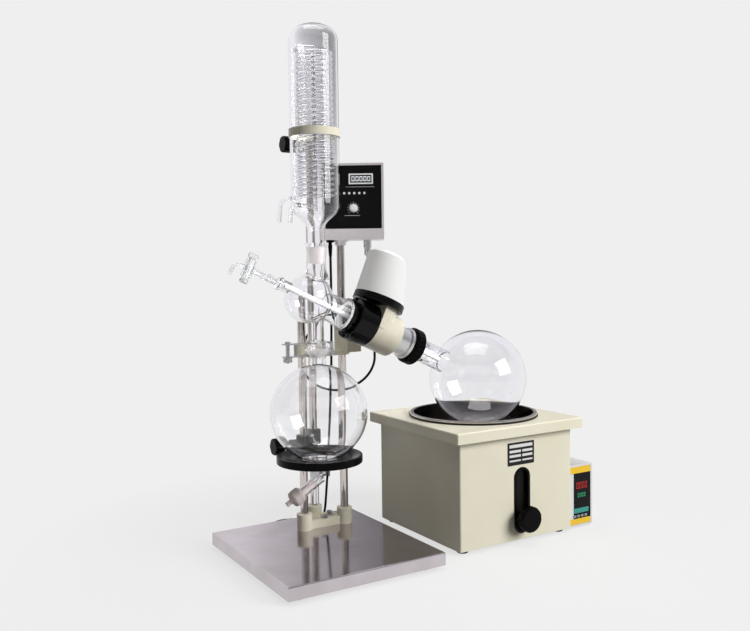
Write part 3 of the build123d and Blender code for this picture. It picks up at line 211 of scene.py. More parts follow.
def grained(name, colour, size, detail=2.0, relief=None, matt=None, **sockets):
    """The maker of a material with an even grain, its size in millimetres.

    relief is the strength and the depth in millimetres of the grain's bump, and matt the roughness
    where the grain is lowest and highest.
    """
    @cache
    def make():
        material, tree, surface = shader(name, colour, **sockets)
        grain = noise(tree, texture_place(tree), size, detail)
        if relief:
            bump(tree, surface, grain, *relief)
        if matt:
            surface.inputs["Roughness"].default_value = sum(matt) / 2
            vary(tree, surface, "Roughness", grain, *matt)
        return material
    return make


# Materials, each made once, and the refractive indices that several share
PAINT = 1.5
MOULDING = 1.53
FILM = 1.57
BOROSILICATE = 1.474


@cache
def baked_enamel():
    # Stoved enamel sprayed on sheet steel: a soft gloss with orange peel about 2 mm across.
    material, tree, surface = shader(
        "baked_enamel_on_steel", "E2DDC8", Roughness=0.34, IOR=PAINT, Specular_IOR_Level=0.35,
        Coat_Weight=0.1, Coat_Roughness=0.18)
    at = texture_place(tree)
    bump(tree, surface, noise(tree, at, 2.2), 0.16, 0.3)
    cloud = noise(tree, at, 160.0, 3.0)
    tint(tree, surface, cloud, "E5E0CC", "DFDAC4", 0.35, 0.7)
    vary(tree, surface, "Roughness", cloud, 0.3, 0.4, 0.3, 0.7)
    return material


@cache
def cast_enamel():
    # Sand-cast aluminium under the same enamel: the casting's grain, about 3 mm, shows through the gloss.
    material, tree, surface = shader(
        "enamelled_aluminium_casting", "E0DBCA", Roughness=0.38, IOR=PAINT, Coat_Weight=0.2,
        Coat_Roughness=0.2)
    at = texture_place(tree)
    pores = noise(tree, at, 20.0)
    bump(tree, surface, maths(tree, "ADD", noise(tree, at, 3.0, 4.0), pores), 0.22, 0.6)
    tint(tree, surface, pores, "E3DECB", "DAD4C0", 0.35, 0.7)
    return material

# Injection-moulded ABS: off-white, satin, with a spark-eroded grain of about 1 mm.
satin_abs_white = grained(
    "moulded_white_abs", "E2E2E1", 1.1, relief=(0.1, 0.2), matt=(0.36, 0.48), IOR=MOULDING)

# Glass-filled nylon, black: satin with a faint grain, grey where light grazes it.
moulded_black = grained(
    "moulded_black_nylon", "060607", 1.4, 3.0, (0.18, 0.3), (0.33, 0.47), IOR=MOULDING,
    Specular_IOR_Level=0.06)

# Glossy black stove paint on turned aluminium, with slight waves about 5 mm long.
gloss_black = grained(
    "gloss_black_paint", "040404", 5.0, 2.0, (0.08, 0.3), (0.13, 0.22), IOR=PAINT, Specular_IOR_Level=0.18)

# Compression-moulded phenolic: deep black and glossy, as on screw knobs.
phenolic_black = grained(
    "moulded_black_phenolic", "040405", 6.0, 3.0, (0.08, 0.4), (0.2, 0.32), IOR=1.6,
    Specular_IOR_Level=0.05)

# Black lacquer on an aluminium casting: glossy with slight waviness.
black_lacquer = grained(
    "black_lacquered_casting", "050506", 4.0, 3.0, (0.14, 0.5), Roughness=0.2, IOR=PAINT,
    Specular_IOR_Level=0.06)


@cache
def brushed_stainless():
    # Stainless sheet, linished along X: streaks about 1 mm apart that stretch the reflections.
    material, tree, surface = shader("brushed_stainless_sheet", "CBC4C8", Metallic=1.0, Roughness=0.12)
    streaks = stretched_noise(tree, (120.0, 1.1, 1.1), 4.0)
    bump(tree, surface, streaks, 0.05, 0.1)
    vary(tree, surface, "Roughness", streaks, 0.07, 0.15, 0.3, 0.7)
    tint(tree, surface, noise(tree, texture_place(tree), 90.0, 3.0), "D2CBD0", "C0B9BC")
    return material


@cache
def spun_stainless():
    # Spun and polished stainless: rings of tool marks round the upright axis of the pot.
    material, tree, surface = shader("spun_stainless", "B4B0AD", Metallic=1.0, Roughness=0.16)
    rings = add(tree, "ShaderNodeTexWave", {"Vector": about_axis(tree, BATH)}, wave_type="RINGS",
                rings_direction="Z", Scale=1 / (12.0 * MM), Distortion=0.6, Detail=2.0)
    bump(tree, surface, rings.outputs["Fac"], 0.1, 0.2)
    vary(tree, surface, "Roughness", rings.outputs["Fac"], 0.12, 0.2)
    return material


@cache
def ground_rod():
    # Centreless-ground chromed steel: near mirror, with fine rings about 1 mm apart along the bar.
    material, tree, surface = shader("ground_chromed_bar", "CFC8C4", Metallic=1.0, Roughness=0.08)
    rings = stretched_noise(tree, (30.0, 30.0, 1.2))
    bump(tree, surface, rings, 0.06, 0.1)
    vary(tree, surface, "Roughness", rings, 0.05, 0.12)
    return material


@cache
def turned_aluminium():
    # Turned aluminium: bright, with the lathe's rings about 1 mm apart across the head axis.
    material, tree, surface = shader("turned_aluminium", "CFCFD0", Metallic=1.0, Roughness=0.26)
    turned = texture_place(tree, turn=(0, -HEAD_TILT, 0))
    stretch = add(tree, "ShaderNodeVectorMath", {0: turned}, operation="MULTIPLY")
    stretch.inputs[1].default_value = (1 / (1.0 * MM), 1 / (50.0 * MM), 1 / (50.0 * MM))
    rings = add(tree, "ShaderNodeTexNoise", {"Vector": stretch.outputs[0]}, Scale=1.0, Detail=2.0)
    rings = rings.outputs[0]
    bump(tree, surface, rings, 0.15, 0.2)
    vary(tree, surface, "Roughness", rings, 0.2, 0.34)
    return material


@cache
def zinc_steel():
    # Zinc-plated steel: a cool grey shine, mottled by the plating over a few millimetres.
    material, tree, surface = shader("zinc_plated_steel", "B7B9BC", Metallic=1.0, Roughness=0.28)
    mottle = noise(tree, texture_place(tree), 7.0, 4.0)
    vary(tree, surface, "Roughness", mottle, 0.2, 0.38, 0.3, 0.7)
    tint(tree, surface, mottle, "BDBFC2", "A9ABAE")
    return material


def clear_borosilicate(name, first, second, size):
    """The maker of a clear glass whose faint cast drifts between two tones over size millimetres."""
    @cache
    def make():
        material, tree, surface = shader(
            name, first, Roughness=0.0, IOR=BOROSILICATE, Transmission_Weight=1.0)
        tint(tree, surface, noise(tree, texture_place(tree), size, 1.0), first, second)
        return material
    return make


# Blown borosilicate: clear with a faint lilac-grey cast, a little uneven over 3 cm.
clear_glass = clear_borosilicate("blown_borosilicate", "FEFEFF", "FAFAFD", 30.0)

# Drawn tubing, clear, with thick edges that show the turns.
coil_glass = clear_borosilicate("drawn_glass_tube", "FFFFFF", "FBFBFE", 20.0)


def frosted_zone(name, low, high, radius):
    """Borosilicate with its joint ground matt between two heights, within a radius of the glass axis."""
    material, tree, surface = shader(
        name, "FDFDFE", Roughness=0.0, IOR=BOROSILICATE, Transmission_Weight=1.0)
    split = add(tree, "ShaderNodeSeparateXYZ", {0: about_axis(tree, GLASS)})
    flat = add(tree, "ShaderNodeCombineXYZ", {0: split.outputs[0], 1: split.outputs[1]})
    reach = add(tree, "ShaderNodeVectorMath", {0: flat.outputs[0]}, operation="LENGTH")
    above = maths(tree, "GREATER_THAN", split.outputs[2], low * MM)
    below = maths(tree, "LESS_THAN", split.outputs[2], high * MM)
    near = maths(tree, "LESS_THAN", reach.outputs["Value"], radius * MM)
    zone = maths(tree, "MULTIPLY", maths(tree, "MULTIPLY", above, below), near)
    grit = noise(tree, texture_place(tree), 1.2)
    vary(tree, surface, "Roughness", zone, 0.0, 0.36)
    vary(tree, surface, "Transmission Weight", zone, 1.0, 0.8)
    bump(tree, surface, maths(tree, "MULTIPLY", grit, zone), 0.25, 0.3)
    tree.links.new(blend_colours(tree, zone, "FDFDFE", "ECE9E9"), surface.inputs["Base Color"])
    return material

# Pressed stopcock glass: a little matt from its mould, with a fine grain of about 1 mm.
pressed_glass = grained(
    "pressed_glass", "F4F5F6", 1.2, relief=(0.12, 0.2), matt=(0.08, 0.18), IOR=BOROSILICATE,
    Transmission_Weight=0.96)

# Machined PTFE: milky white, waxy and slightly see-through at its edges.
ptfe = grained(
    "machined_ptfe", "E6E6E6", 1.5, relief=(0.08, 0.2), Roughness=0.36, IOR=1.38, Subsurface_Weight=0.2,
    Subsurface_Scale=3.0 * MM)

# Ground glass grip, pinkish white and matt.
frosted_grip = grained(
    "ground_glass_grip", "DCD2D0", 1.2, relief=(0.3, 0.3), Roughness=0.45, IOR=BOROSILICATE,
    Transmission_Weight=0.45)

# Ground glass plug, cool white and half clear.
ground_plug = grained(
    "ground_glass_plug", "EDEEEE", 1.2, relief=(0.2, 0.2), Roughness=0.4, IOR=BOROSILICATE,
    Transmission_Weight=0.6)


@cache
def plate_black():
    # Black anodised aluminium sheet, satin, its grain drawn out along the sheet.
    material, tree, surface = shader(
        "anodised_black_plate", "0B0B0D", Roughness=0.32, IOR=PAINT, Specular_IOR_Level=0.3)
    vary(tree, surface, "Roughness", stretched_noise(tree, (20.0, 1.0, 1.0)), 0.28, 0.4)
    return material

# Matt black on sheet steel with a faint spray grain of about 2 mm: painted shade on the sliding sleeve, so
# the bath's slot reads dark
slot_shade_paint = grained(
    "matt_black_slot_shade", "070707", 2.0, relief=(0.1, 0.2), Roughness=0.6, IOR=PAINT,
    Specular_IOR_Level=0.25)

# Black-oxide steel of socket screws: dark, with a low oily sheen.
black_oxide = grained("black_oxide_steel", "141415", 4.0, 3.0, matt=(0.26, 0.42), Metallic=1.0)

# Moulded nitrile rubber: dull black with fine pitting.
feet_rubber = grained(
    "moulded_rubber", "101010", 1.8, 3.0, (0.25, 0.3), Roughness=0.6, IOR=1.52, Specular_IOR_Level=0.3)

# Extruded PVC jacket: black, half gloss, a little uneven over 4 mm.
cable_pvc = grained(
    "extruded_pvc_jacket", "060607", 4.0, 3.0, (0.12, 0.2), (0.36, 0.5), IOR=1.54, Specular_IOR_Level=0.15)

# Clear-anodised aluminium: pale grey, matt, with a fine grain.
anodised_frame = grained(
    "anodised_aluminium", "F2EDEE", 1.3, relief=(0.1, 0.2), matt=(0.42, 0.52), Metallic=1.0)

# Screen-printed polyester film on the panel: black, satin.
panel_film = grained(
    "printed_panel_film", "08080A", 1.2, relief=(0.08, 0.2), matt=(0.3, 0.4), IOR=FILM,
    Specular_IOR_Level=0.12)

# White screen ink, flat.
print_white = grained("white_screen_ink", "DCDCDA", 1.0, 1.0, matt=(0.45, 0.6))

# Yellow print on the front film.
yellow_band = grained("yellow_film_print", "E8BE2C", 1.0, 1.0, matt=(0.35, 0.48), IOR=FILM)

# Teal print on the front film.
teal_band = grained("teal_film_print", "2C8C80", 1.0, 1.0, matt=(0.35, 0.48), IOR=FILM)

# Smoked acrylic over a display: near black and glossy.
smoked_window = grained("smoked_acrylic", "0A0B0C", 20.0, 1.0, matt=(0.06, 0.12), IOR=1.49)

# Moulded light grey ABS.
controller_grey = grained(
    "moulded_grey_abs", "D6D6D6", 1.1, relief=(0.12, 0.2), matt=(0.36, 0.5), IOR=MOULDING)

# Silicone keys: grey, matt.
key_rubber = grained("silicone_keys", "8D9294", 1.0, relief=(0.1, 0.2), Roughness=0.55, IOR=1.41)


@cache
def heater_sheath():
    # Oxidised stainless sheath of a tubular heater: brown-grey and dull.
    material, tree, surface = shader("oxidised_heater_sheath", "6B645E", Metallic=1.0, Roughness=0.45)
    tint(tree, surface, noise(tree, texture_place(tree), 20.0, 3.0), "746B62", "5A554F")
    return material


def lit(name, colour, strength):
    """Segments of a display that give off light: back-lit white ones, and red and green LEDs."""
    return shader(name, colour, Roughness=0.4, Emission_Color=linear(colour), Emission_Strength=strength)[0]


# Meshes
SHARP_EDGE = math.radians(35)


def new_object(name, data, material):
    """A new piece of the stand's body, with the material slot that it can be finished in."""
    obj = bpy.data.objects.new(name, data)
    bpy.context.scene.collection.objects.link(obj)
    obj.data.materials.append(material)
    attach(obj, "stand")
    return obj


def mesh_object(name, shape, material, smooth=True):
    """A piece from a shape, which is its points and its faces."""
    verts, faces = shape
    mesh = bpy.data.meshes.new(name)
    mesh.from_pydata([tuple(v) for v in verts], [], faces)
    mesh.validate()
    work = bmesh.new()
    work.from_mesh(mesh)
    bmesh.ops.recalc_face_normals(work, faces=work.faces)
    work.to_mesh(mesh)
    work.free()
    obj = new_object(name, mesh, material)
    if smooth:
        round_off(obj)
    return obj


def round_off(obj):
    """Smooth shading, with edges over SHARP_EDGE kept sharp."""
    work = bmesh.new()
    work.from_mesh(obj.data)
    for face in work.faces:
        face.smooth = True
    for edge in work.edges:
        edge.smooth = len(edge.link_faces) == 2 and edge.calc_face_angle(0.0) < SHARP_EDGE
    work.to_mesh(obj.data)
    work.free()


def dress(material, *names):
    """Gives CAD nodes their finish."""
    for name in names:
        mesh = NODES[name].data
        mesh.materials.clear()
        mesh.materials.append(material)
        for polygon in mesh.polygons:
            polygon.material_index = 0


def sweep_rings(centres, radius, sides, inside=None):
    """Rings of points round a line of centres, joined to a tube; inside gives it a bore."""
    verts, faces = [], []
    count = len(centres)
    around = zip([centres[0]] + centres[:-1], centres[1:] + [centres[-1]])
    tangents = [(after - before).normalized() for before, after in around]
    across = tangents[0].orthogonal().normalized()
    frames = []
    for tangent in tangents:
        across = (across - tangent * across.dot(tangent)).normalized()
        frames.append((across.copy(), tangent.cross(across)))
    half = count * sides
    for r in [radius] if inside is None else [radius, inside]:
        start = len(verts)
        for centre, (u, v) in zip(centres, frames):
            for k in range(sides):
                angle = 2 * math.pi * k / sides
                verts.append(centre + (u * math.cos(angle) + v * math.sin(angle)) * r)
        for ring in range(start, start + half - sides, sides):
            for k in range(sides):
                n = (k + 1) % sides
                a, b, c, d = ring + k, ring + n, ring + sides + n, ring + sides + k
                faces.append((a, b, c, d) if r == radius else (a, d, c, b))
    for end in (0, half - sides):
        if inside is None:
            faces.append(tuple(range(end, end + sides)))
            continue
        for k in range(sides):
            n = (k + 1) % sides
            faces.append((end + k, end + n, half + end + n, half + end + k))
    return verts, faces


def slab(matrix, outline, low, high):
    """A flat plate with its outline in the frame's x and z, from y low to y high."""
    verts = [place(matrix, x, y, z) for y in (low, high) for x, z in outline]
    n = len(outline)
    faces = [tuple(range(n)), tuple(range(2 * n - 1, n - 1, -1))]
    faces += [(i, (i + 1) % n, n + (i + 1) % n, n + i) for i in range(n)]
    return verts, faces


def rounded(width, height, radius, x=0.0, z=0.0):
    """Outline of a rectangle with round corners, its middle at x, z."""
    steps = 4
    points = []
    for sx, sz, first in ((1, -1, -90), (1, 1, 0), (-1, 1, 90), (-1, -1, 180)):
        for k in range(steps + 1):
            angle = math.radians(first + 90 * k / steps)
            points.append((x + sx * (width / 2 - radius) + radius * math.cos(angle),
                           z + sz * (height / 2 - radius) + radius * math.sin(angle)))
    return points


def join(parts):
    """Puts several sets of points and faces into one."""
    verts, faces = [], []
    for more_verts, more_faces in parts:
        start = len(verts)
        verts += more_verts
        faces += [tuple(start + i for i in face) for face in more_faces]
    return verts, faces


def zeros(matrix, count, x, z, width, height, gap, low, high, thick):
    """A row of slim seven-segment zeros, its lower left corner at x, z, each bar drawn in by trim."""
    trim = 0.22
    parts = []
    for i in range(count):
        left = x + i * (width + gap)
        right, middle, top = left + width, z + height / 2, z + height
        for x0, z0, x1, z1 in (
                (left, top - thick, right, top), (right - thick, middle, right, top),
                (right - thick, z, right, middle), (left, z, right, z + thick),
                (left, z, left + thick, middle), (left, middle, left + thick, top)):
            x0, z0, x1, z1 = x0 + trim, z0 + trim, x1 - trim, z1 - trim
            parts.append(slab(matrix, [(x0, z0), (x1, z0), (x1, z1), (x0, z1)], low, high))
    return join(parts)


# Settings that a user would change
def length(name, description, default, least):
    return FloatProperty(name=name, description=description, default=default, min=least, unit="LENGTH")


class StandSettings(bpy.types.PropertyGroup):
    coil_turns: IntProperty(
        name="Coil turns", description="Turns of the condenser coil", default=27, min=4, max=40)
    coil_pitch: length("Coil pitch", "Rise of the coil in one turn", 0.0109, 0.008)
    coil_radius: length("Coil radius", "From the middle of the coil to the middle of its tube", 0.036, 0.01)
    coil_tube: length("Coil tube", "Outer radius of the coil's tube", 0.0034, 0.001)


class CordSettings(bpy.types.PropertyGroup):
    mains_diameter: length("Mains lead", "Diameter of the mains lead", 0.0056, 0.002)
    motor_diameter: length("Motor lead", "Diameter of the motor lead", 0.0056, 0.002)
    turn_points: IntProperty(
        name="Points of a turn", description="Control points in each turn of the hank", default=14, min=12)


class StageSettings(bpy.types.PropertyGroup):
    floor: FloatVectorProperty(
        name="Floor", description="Colour of the floor", subtype="COLOR", size=3,
        default=linear("EFEFEF")[:3])
    lamp_power: FloatProperty(
        name="Lamp power", description="Power of the key lamp", default=268.0, min=0.0, unit="POWER")


# The camera's place, and how far it turns to the right, dips and rolls, in radians
CAMERA_PLACE = (-796.727, -1528.334, 594.374)
YAW, PITCH, ROLL = 0.546, 0.050, -0.013


# Camera and cords
class EVAPORATOR_OT_camera(bpy.types.Operator):
    """Sets the camera where the photograph was taken from"""
    bl_idname = "evaporator.camera"
    bl_label = "Camera"

    def execute(self, context):
        data = bpy.data.cameras.new("view_camera")
        data.lens = 40.1
        data.sensor_width = 36.0
        data.clip_start = 0.05
        data.clip_end = 50.0
        camera = bpy.data.objects.new("view_camera", data)
        context.scene.collection.objects.link(camera)
        ahead = Vector((math.cos(PITCH) * math.sin(YAW), math.cos(PITCH) * math.cos(YAW), -math.sin(PITCH)))
        right = Vector((math.cos(YAW), -math.sin(YAW), 0))
        up = right.cross(ahead)
        tilted_right = right * math.cos(ROLL) + up * math.sin(ROLL)
        tilted_up = up * math.cos(ROLL) - right * math.sin(ROLL)
        turn = Matrix((tilted_right, tilted_up, -ahead)).transposed()
        camera.matrix_world = Matrix.Translation(spot(*CAMERA_PLACE)) @ turn.to_4x4()
        context.scene.camera = camera
        return {"FINISHED"}


# Where the leads leave the control box, in its frame, and the gland at the motor's rear, in the head's
MOTOR_EXIT = (29.5, 2.0 + 70.0 / 3, -34.0)
MAINS_EXIT = (-52.5, 18.0, -12.0)
MOTOR_GLAND = (55.0, -54.5, 136.0)
GLAND_LENGTH = 12.0
# Control points of the leads
MAINS_ROUTE = [
    (80.5, 101.5, 625), (86, 111, 582), (92, 122, 535), (97, 132.5, 485),
    (101, 142, 425), (103.5, 150, 350), (105.5, 160, 275), (107, 171.5, 200),
    (108.5, 184.5, 130), (110, 196.5, 75), (109.5, 200.5, 45), (104, 202.5, 18),
    (84, 203.2, 3.2), (58, 203.4, 2.9), (44, 203, 2.9),
]
MAINS_TAIL = [
    (17, 203, 8.5), (0, 203.4, 8.7), (-18, 204.6, 9.6), (-36, 206.6, 11.2),
    (-56, 208, 12),
]
MOTOR_ROUTE = [
    (153, 62.6, 590), (157, 64.5, 532), (164, 67.5, 476), (173, 71, 426),
    (175, 75, 392), (160, 84, 362), (138, 101, 342), (113, 123, 333),
    (92, 149, 334), (70, 172, 346), (50, 184, 374), (44, 184, 412),
    (53, 178, 450), (73, 162, 482), (97, 138, 500), (116, 112, 511),
    (128, 84, 523),
]


def lead(name, points, diameter, material):
    """A round lead along a smooth line through its control points."""
    data = bpy.data.curves.new(name, "CURVE")
    data.dimensions = "3D"
    data.bevel_depth = diameter / 2
    data.bevel_resolution = 4
    data.resolution_u = 10
    data.use_fill_caps = True
    line = data.splines.new("NURBS")
    line.points.add(len(points) - 1)
    for point, where in zip(line.points, points):
        point.co = (*where, 1.0)
    line.order_u = 3
    line.use_endpoint_u = True
    return new_object(name, data, material)


def hank_turns(per_turn):
    """Four turns: the lower outer and inner one, then the upper inner and outer one."""
    turns = [(35.2, 2.9), (29.6, 2.9), (29.6, 8.5), (35.2, 8.5)]
    # each step to the next turn is spread over the rest of the turn after this share of it
    change = 0.67
    points = []
    for i in range(1, len(turns) * per_turn):
        along = i / per_turn
        k = int(along)
        ease = max(0.0, (along - k - change) / (1 - change))
        ease = ease * ease * (3 - 2 * ease)
        after = turns[min(k + 1, len(turns) - 1)]
        radius = turns[k][0] * (1 - ease) + after[0] * ease
        height = turns[k][1] * (1 - ease) + after[1] * ease
        angle = -math.pi / 2 - 2 * math.pi * along
        # control points stand a little outside the curve that they make
        radius /= math.cos(math.pi / per_turn) ** 0.5
        points.append((
            HANK_MIDDLE[0] + radius * math.cos(angle), HANK_MIDDLE[1] + radius * math.sin(angle), height))
    return points


def spin(matrix, profile, sides):
    """Turns a profile of (radius, z) points round the z axis of a frame."""
    verts, faces, rings = [], [], []
    for radius, z in profile:
        count = sides if radius else 1
        rings.append(range(len(verts), len(verts) + count))
        for k in range(count):
            angle = 2 * math.pi * k / sides
            verts.append(place(matrix, radius * math.cos(angle), radius * math.sin(angle), z))
    for a, b in zip(rings, rings[1:]):
        for k in range(sides):
            n = (k + 1) % sides
            if len(a) == 1:
                faces.append((a[0], b[n], b[k]))
            elif len(b) == 1:
                faces.append((a[k], a[n], b[0]))
            else:
                faces.append((a[k], a[n], b[n], b[k]))
    return verts, faces


class EVAPORATOR_OT_cords(bpy.types.Operator):
    """Makes the motor lead, the mains lead with its hank, and their strain relief and tie"""
    bl_idname = "evaporator.cords"
    bl_label = "Cords"

    def execute(self, context):
        settings = context.scene.evaporator_cords
        jacket = cable_pvc()
        motor_start = place(BOX, *MOTOR_EXIT)
        gland = Matrix.Translation(Vector(MOTOR_GLAND) * MM) @ Matrix.Rotation(math.radians(90), 4, "X")
        route = [motor_start] + [spot(*p) for p in MOTOR_ROUTE] + [place(HEAD @ gland, 0, 0, GLAND_LENGTH)]
        motor = lead("motor_flex", route, settings.motor_diameter, jacket)
        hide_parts("motor_lead")
        mains_start = place(BOX, *MAINS_EXIT)
        route = MAINS_ROUTE + hank_turns(settings.turn_points) + MAINS_TAIL
        route = [mains_start] + [spot(*p) for p in route]
        mains = lead("mains_flex", route, settings.mains_diameter, jacket)
        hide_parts("mains_lead", "mains_coil")
        self.relief(mains_start, spot(*MAINS_ROUTE[0]))
        dress(moulded_black(), "mains_plug")
        self.tie()
        return {"FINISHED"}

    def relief(self, start, towards):
        # the tapered, ribbed sleeve that guards the mains lead where it leaves the gland
        reach, start_radius, end_radius, ribs = 24.0, 4.9, 3.4, 5
        rib, groove, sunk = 0.35, -0.25, 1.0
        steps = 2 * ribs
        profile = [(0.0, 0.0)]
        for i in range(steps + 1):
            radius = start_radius + (end_radius - start_radius) * i / steps
            profile.append((radius + (groove if i % 2 else rib), reach * i / steps))
        profile.append((0.0, reach))
        down = towards - start
        frame_here = axes(start - down.normalized() * sunk * MM, down.orthogonal(), down)
        mesh_object("mains_relief", spin(frame_here, profile, 24), moulded_black())

    def tie(self):
        # a cable tie round the four strands, across the hank
        strands_wide, strands_high, corner = 11.9, 11.5, 3.4
        half_width, thick, below = 2.2, 0.8, 0.1
        away = Vector((0.6, 0.8, 0)).normalized()
        outline = rounded(strands_wide, strands_high, corner)
        centre = spot(*HANK_MIDDLE, strands_high / 2) + away * 32.4 * MM
        side = Vector((-away.y, away.x, 0))
        verts = []
        for grow in (0.0, thick):
            for half in (-half_width, half_width):
                for u, v in outline:
                    u += math.copysign(grow, u)
                    # the hank lies on the bench, so the tie hardly grows downwards
                    v += math.copysign(min(grow, below), v) if v < 0 else grow
                    verts.append(centre + (away * u + Vector((0, 0, v)) + side * half) * MM)
        n = len(outline)
        faces = []
        for i in range(n):
            k = (i + 1) % n
            faces += [(i, k, n + k, n + i), (2 * n + i, 3 * n + i, 3 * n + k, 2 * n + k),
                      (i, 2 * n + i, 2 * n + k, k), (n + i, n + k, 3 * n + k, 3 * n + i)]
        return mesh_object("hank_tie", (verts, faces), moulded_black())


# Glassware
CLEAR_GLASS = ("vapour_tube", "evaporating_flask", "drain_valve")
COIL_FOOT = 748.0
COIL_START = math.radians(160)
COIL_WALL = 1.1


def coil_line(settings):
    """Centres of the condenser coil's tube, from the root of the lower hose barb up to its last turn."""
    radius, pitch = settings.coil_radius / MM, settings.coil_pitch / MM
    steps = 40
    # radius, angle and height; the first two lead out to the barb
    points = [(39.6, COIL_START - 0.02, COIL_FOOT), (38.4, COIL_START + 0.03, COIL_FOOT)]
    for i in range(3, settings.coil_turns * steps + 1):
        turn = i / steps
        points.append((radius, COIL_START + 2 * math.pi * turn, COIL_FOOT + pitch * turn))
    return [place(GLASS, r * math.cos(a), r * math.sin(a), z) for r, a, z in points]


class EVAPORATOR_OT_glassware(bpy.types.Operator):
    """Finishes the blown glass and makes the condenser's round coil"""
    bl_idname = "evaporator.glassware"
    bl_label = "Glassware"

    def execute(self, context):
        settings = context.scene.evaporator_stand
        # the joints are ground matt: the cone under the condenser, the still head's socket that it sits
        # in, which reads as a white band, and the inside of the receiving flask's cup
        for name, glass, low, high, radius in (
                ("condenser_jacket", "condenser_glass", 618, 650, 19.5),
                ("still_head", "still_head_glass", 616, 650, 22.5),
                ("receiving_flask", "receiver_glass", 424, 446, 24.5)):
            dress(frosted_zone(glass, low, high, radius), name)
        dress(coil_glass(), "condenser_return")
        dress(clear_glass(), *CLEAR_GLASS)
        dress(pressed_glass(), "feed_stopcock")
        dress(ptfe(), "feed_pipe", "seal_ring")
        dress(frosted_grip(), "drain_plug")
        dress(ground_plug(), "feed_plug")
        tube = settings.coil_tube
        shape = sweep_rings(coil_line(settings), tube, 12, inside=tube - COIL_WALL * MM)
        coil = mesh_object("coil_tube", shape, coil_glass())
        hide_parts("condenser_coil")
        # thin clear glass lets the lamps' light through to what stands in and behind it
        names = CLEAR_GLASS + (
            "condenser_jacket", "condenser_return", "still_head", "receiving_flask", "feed_stopcock")
        for piece in [NODES[name] for name in names] + [coil]:
            piece.visible_shadow = False
        return {"FINISHED"}


# Stand, clamps and drive head
class EVAPORATOR_OT_stand(bpy.types.Operator):
    """Finishes the base plate, the columns, the castings and the clamps"""
    bl_idname = "evaporator.stand"
    bl_label = "Stand and clamps"

    def execute(self, context):
        dress(brushed_stainless(), "base_plate")
        dress(feet_rubber(), "base_feet")
        dress(cast_enamel(), "foot_casting", "carriage_casting", "condenser_band", "condenser_arm")
        dress(ground_rod(), "column_front_left", "column_front_right", "column_rear")
        dress(black_lacquer(), "receiver_ring", "receiver_clamp")
        dress(phenolic_black(), "condenser_knob", "receiver_knob")
        dress(zinc_steel(), "clamp_jaw_upper", "clamp_jaw_lower", "clamp_screw", "clamp_nut", "outlet_clip",
              "socket_screws")
        self.black_screws()
        self.spring()
        return {"FINISHED"}

    def black_screws(self):
        # the end cap's screws, at the head's upper end, are black; the castings' bolts are plated
        cap_reach, cap_end = 62.0 * MM, 140.0 * MM
        screws = NODES["socket_screws"].data
        screws.materials.append(black_oxide())
        to_head = HEAD.inverted()
        for polygon in screws.polygons:
            middle = to_head @ polygon.center
            if math.hypot(middle.x, middle.y) < cap_reach and middle.z < cap_end:
                polygon.material_index = 1

    def spring(self):
        # the spring that holds the clamp's jaws apart, round its screw
        turns, wire, radius, screw_x = 6, 0.6, 4.4, -68
        low, high = 431.6, 453.3
        steps = turns * 18
        points = []
        for i in range(steps + 1):
            angle = 2 * math.pi * turns * i / steps
            z = low + (high - low) * i / steps
            points.append(place(GLASS, screw_x + radius * math.cos(angle), radius * math.sin(angle), z))
        mesh_object("clamp_spring", sweep_rings(points, wire * MM, 6), zinc_steel())


class EVAPORATOR_OT_drive_head(bpy.types.Operator):
    """Finishes the drive head, its motor and the rotor"""
    bl_idname = "evaporator.drive_head"
    bl_label = "Drive head"

    def execute(self, context):
        dress(cast_enamel(), "gearbox_housing")
        dress(gloss_black(), "end_cap", "motor_band")
        dress(moulded_black(), "flask_nut", "cable_glands")
        dress(satin_abs_white(), "motor_cap")
        dress(turned_aluminium(), "rotor_sleeve", "motor_connector")
        return {"FINISHED"}


# How far the panel's face lies behind the box's front edge, and how thick the print on a face is
PANEL_FACE = 0.9
INK = 0.12


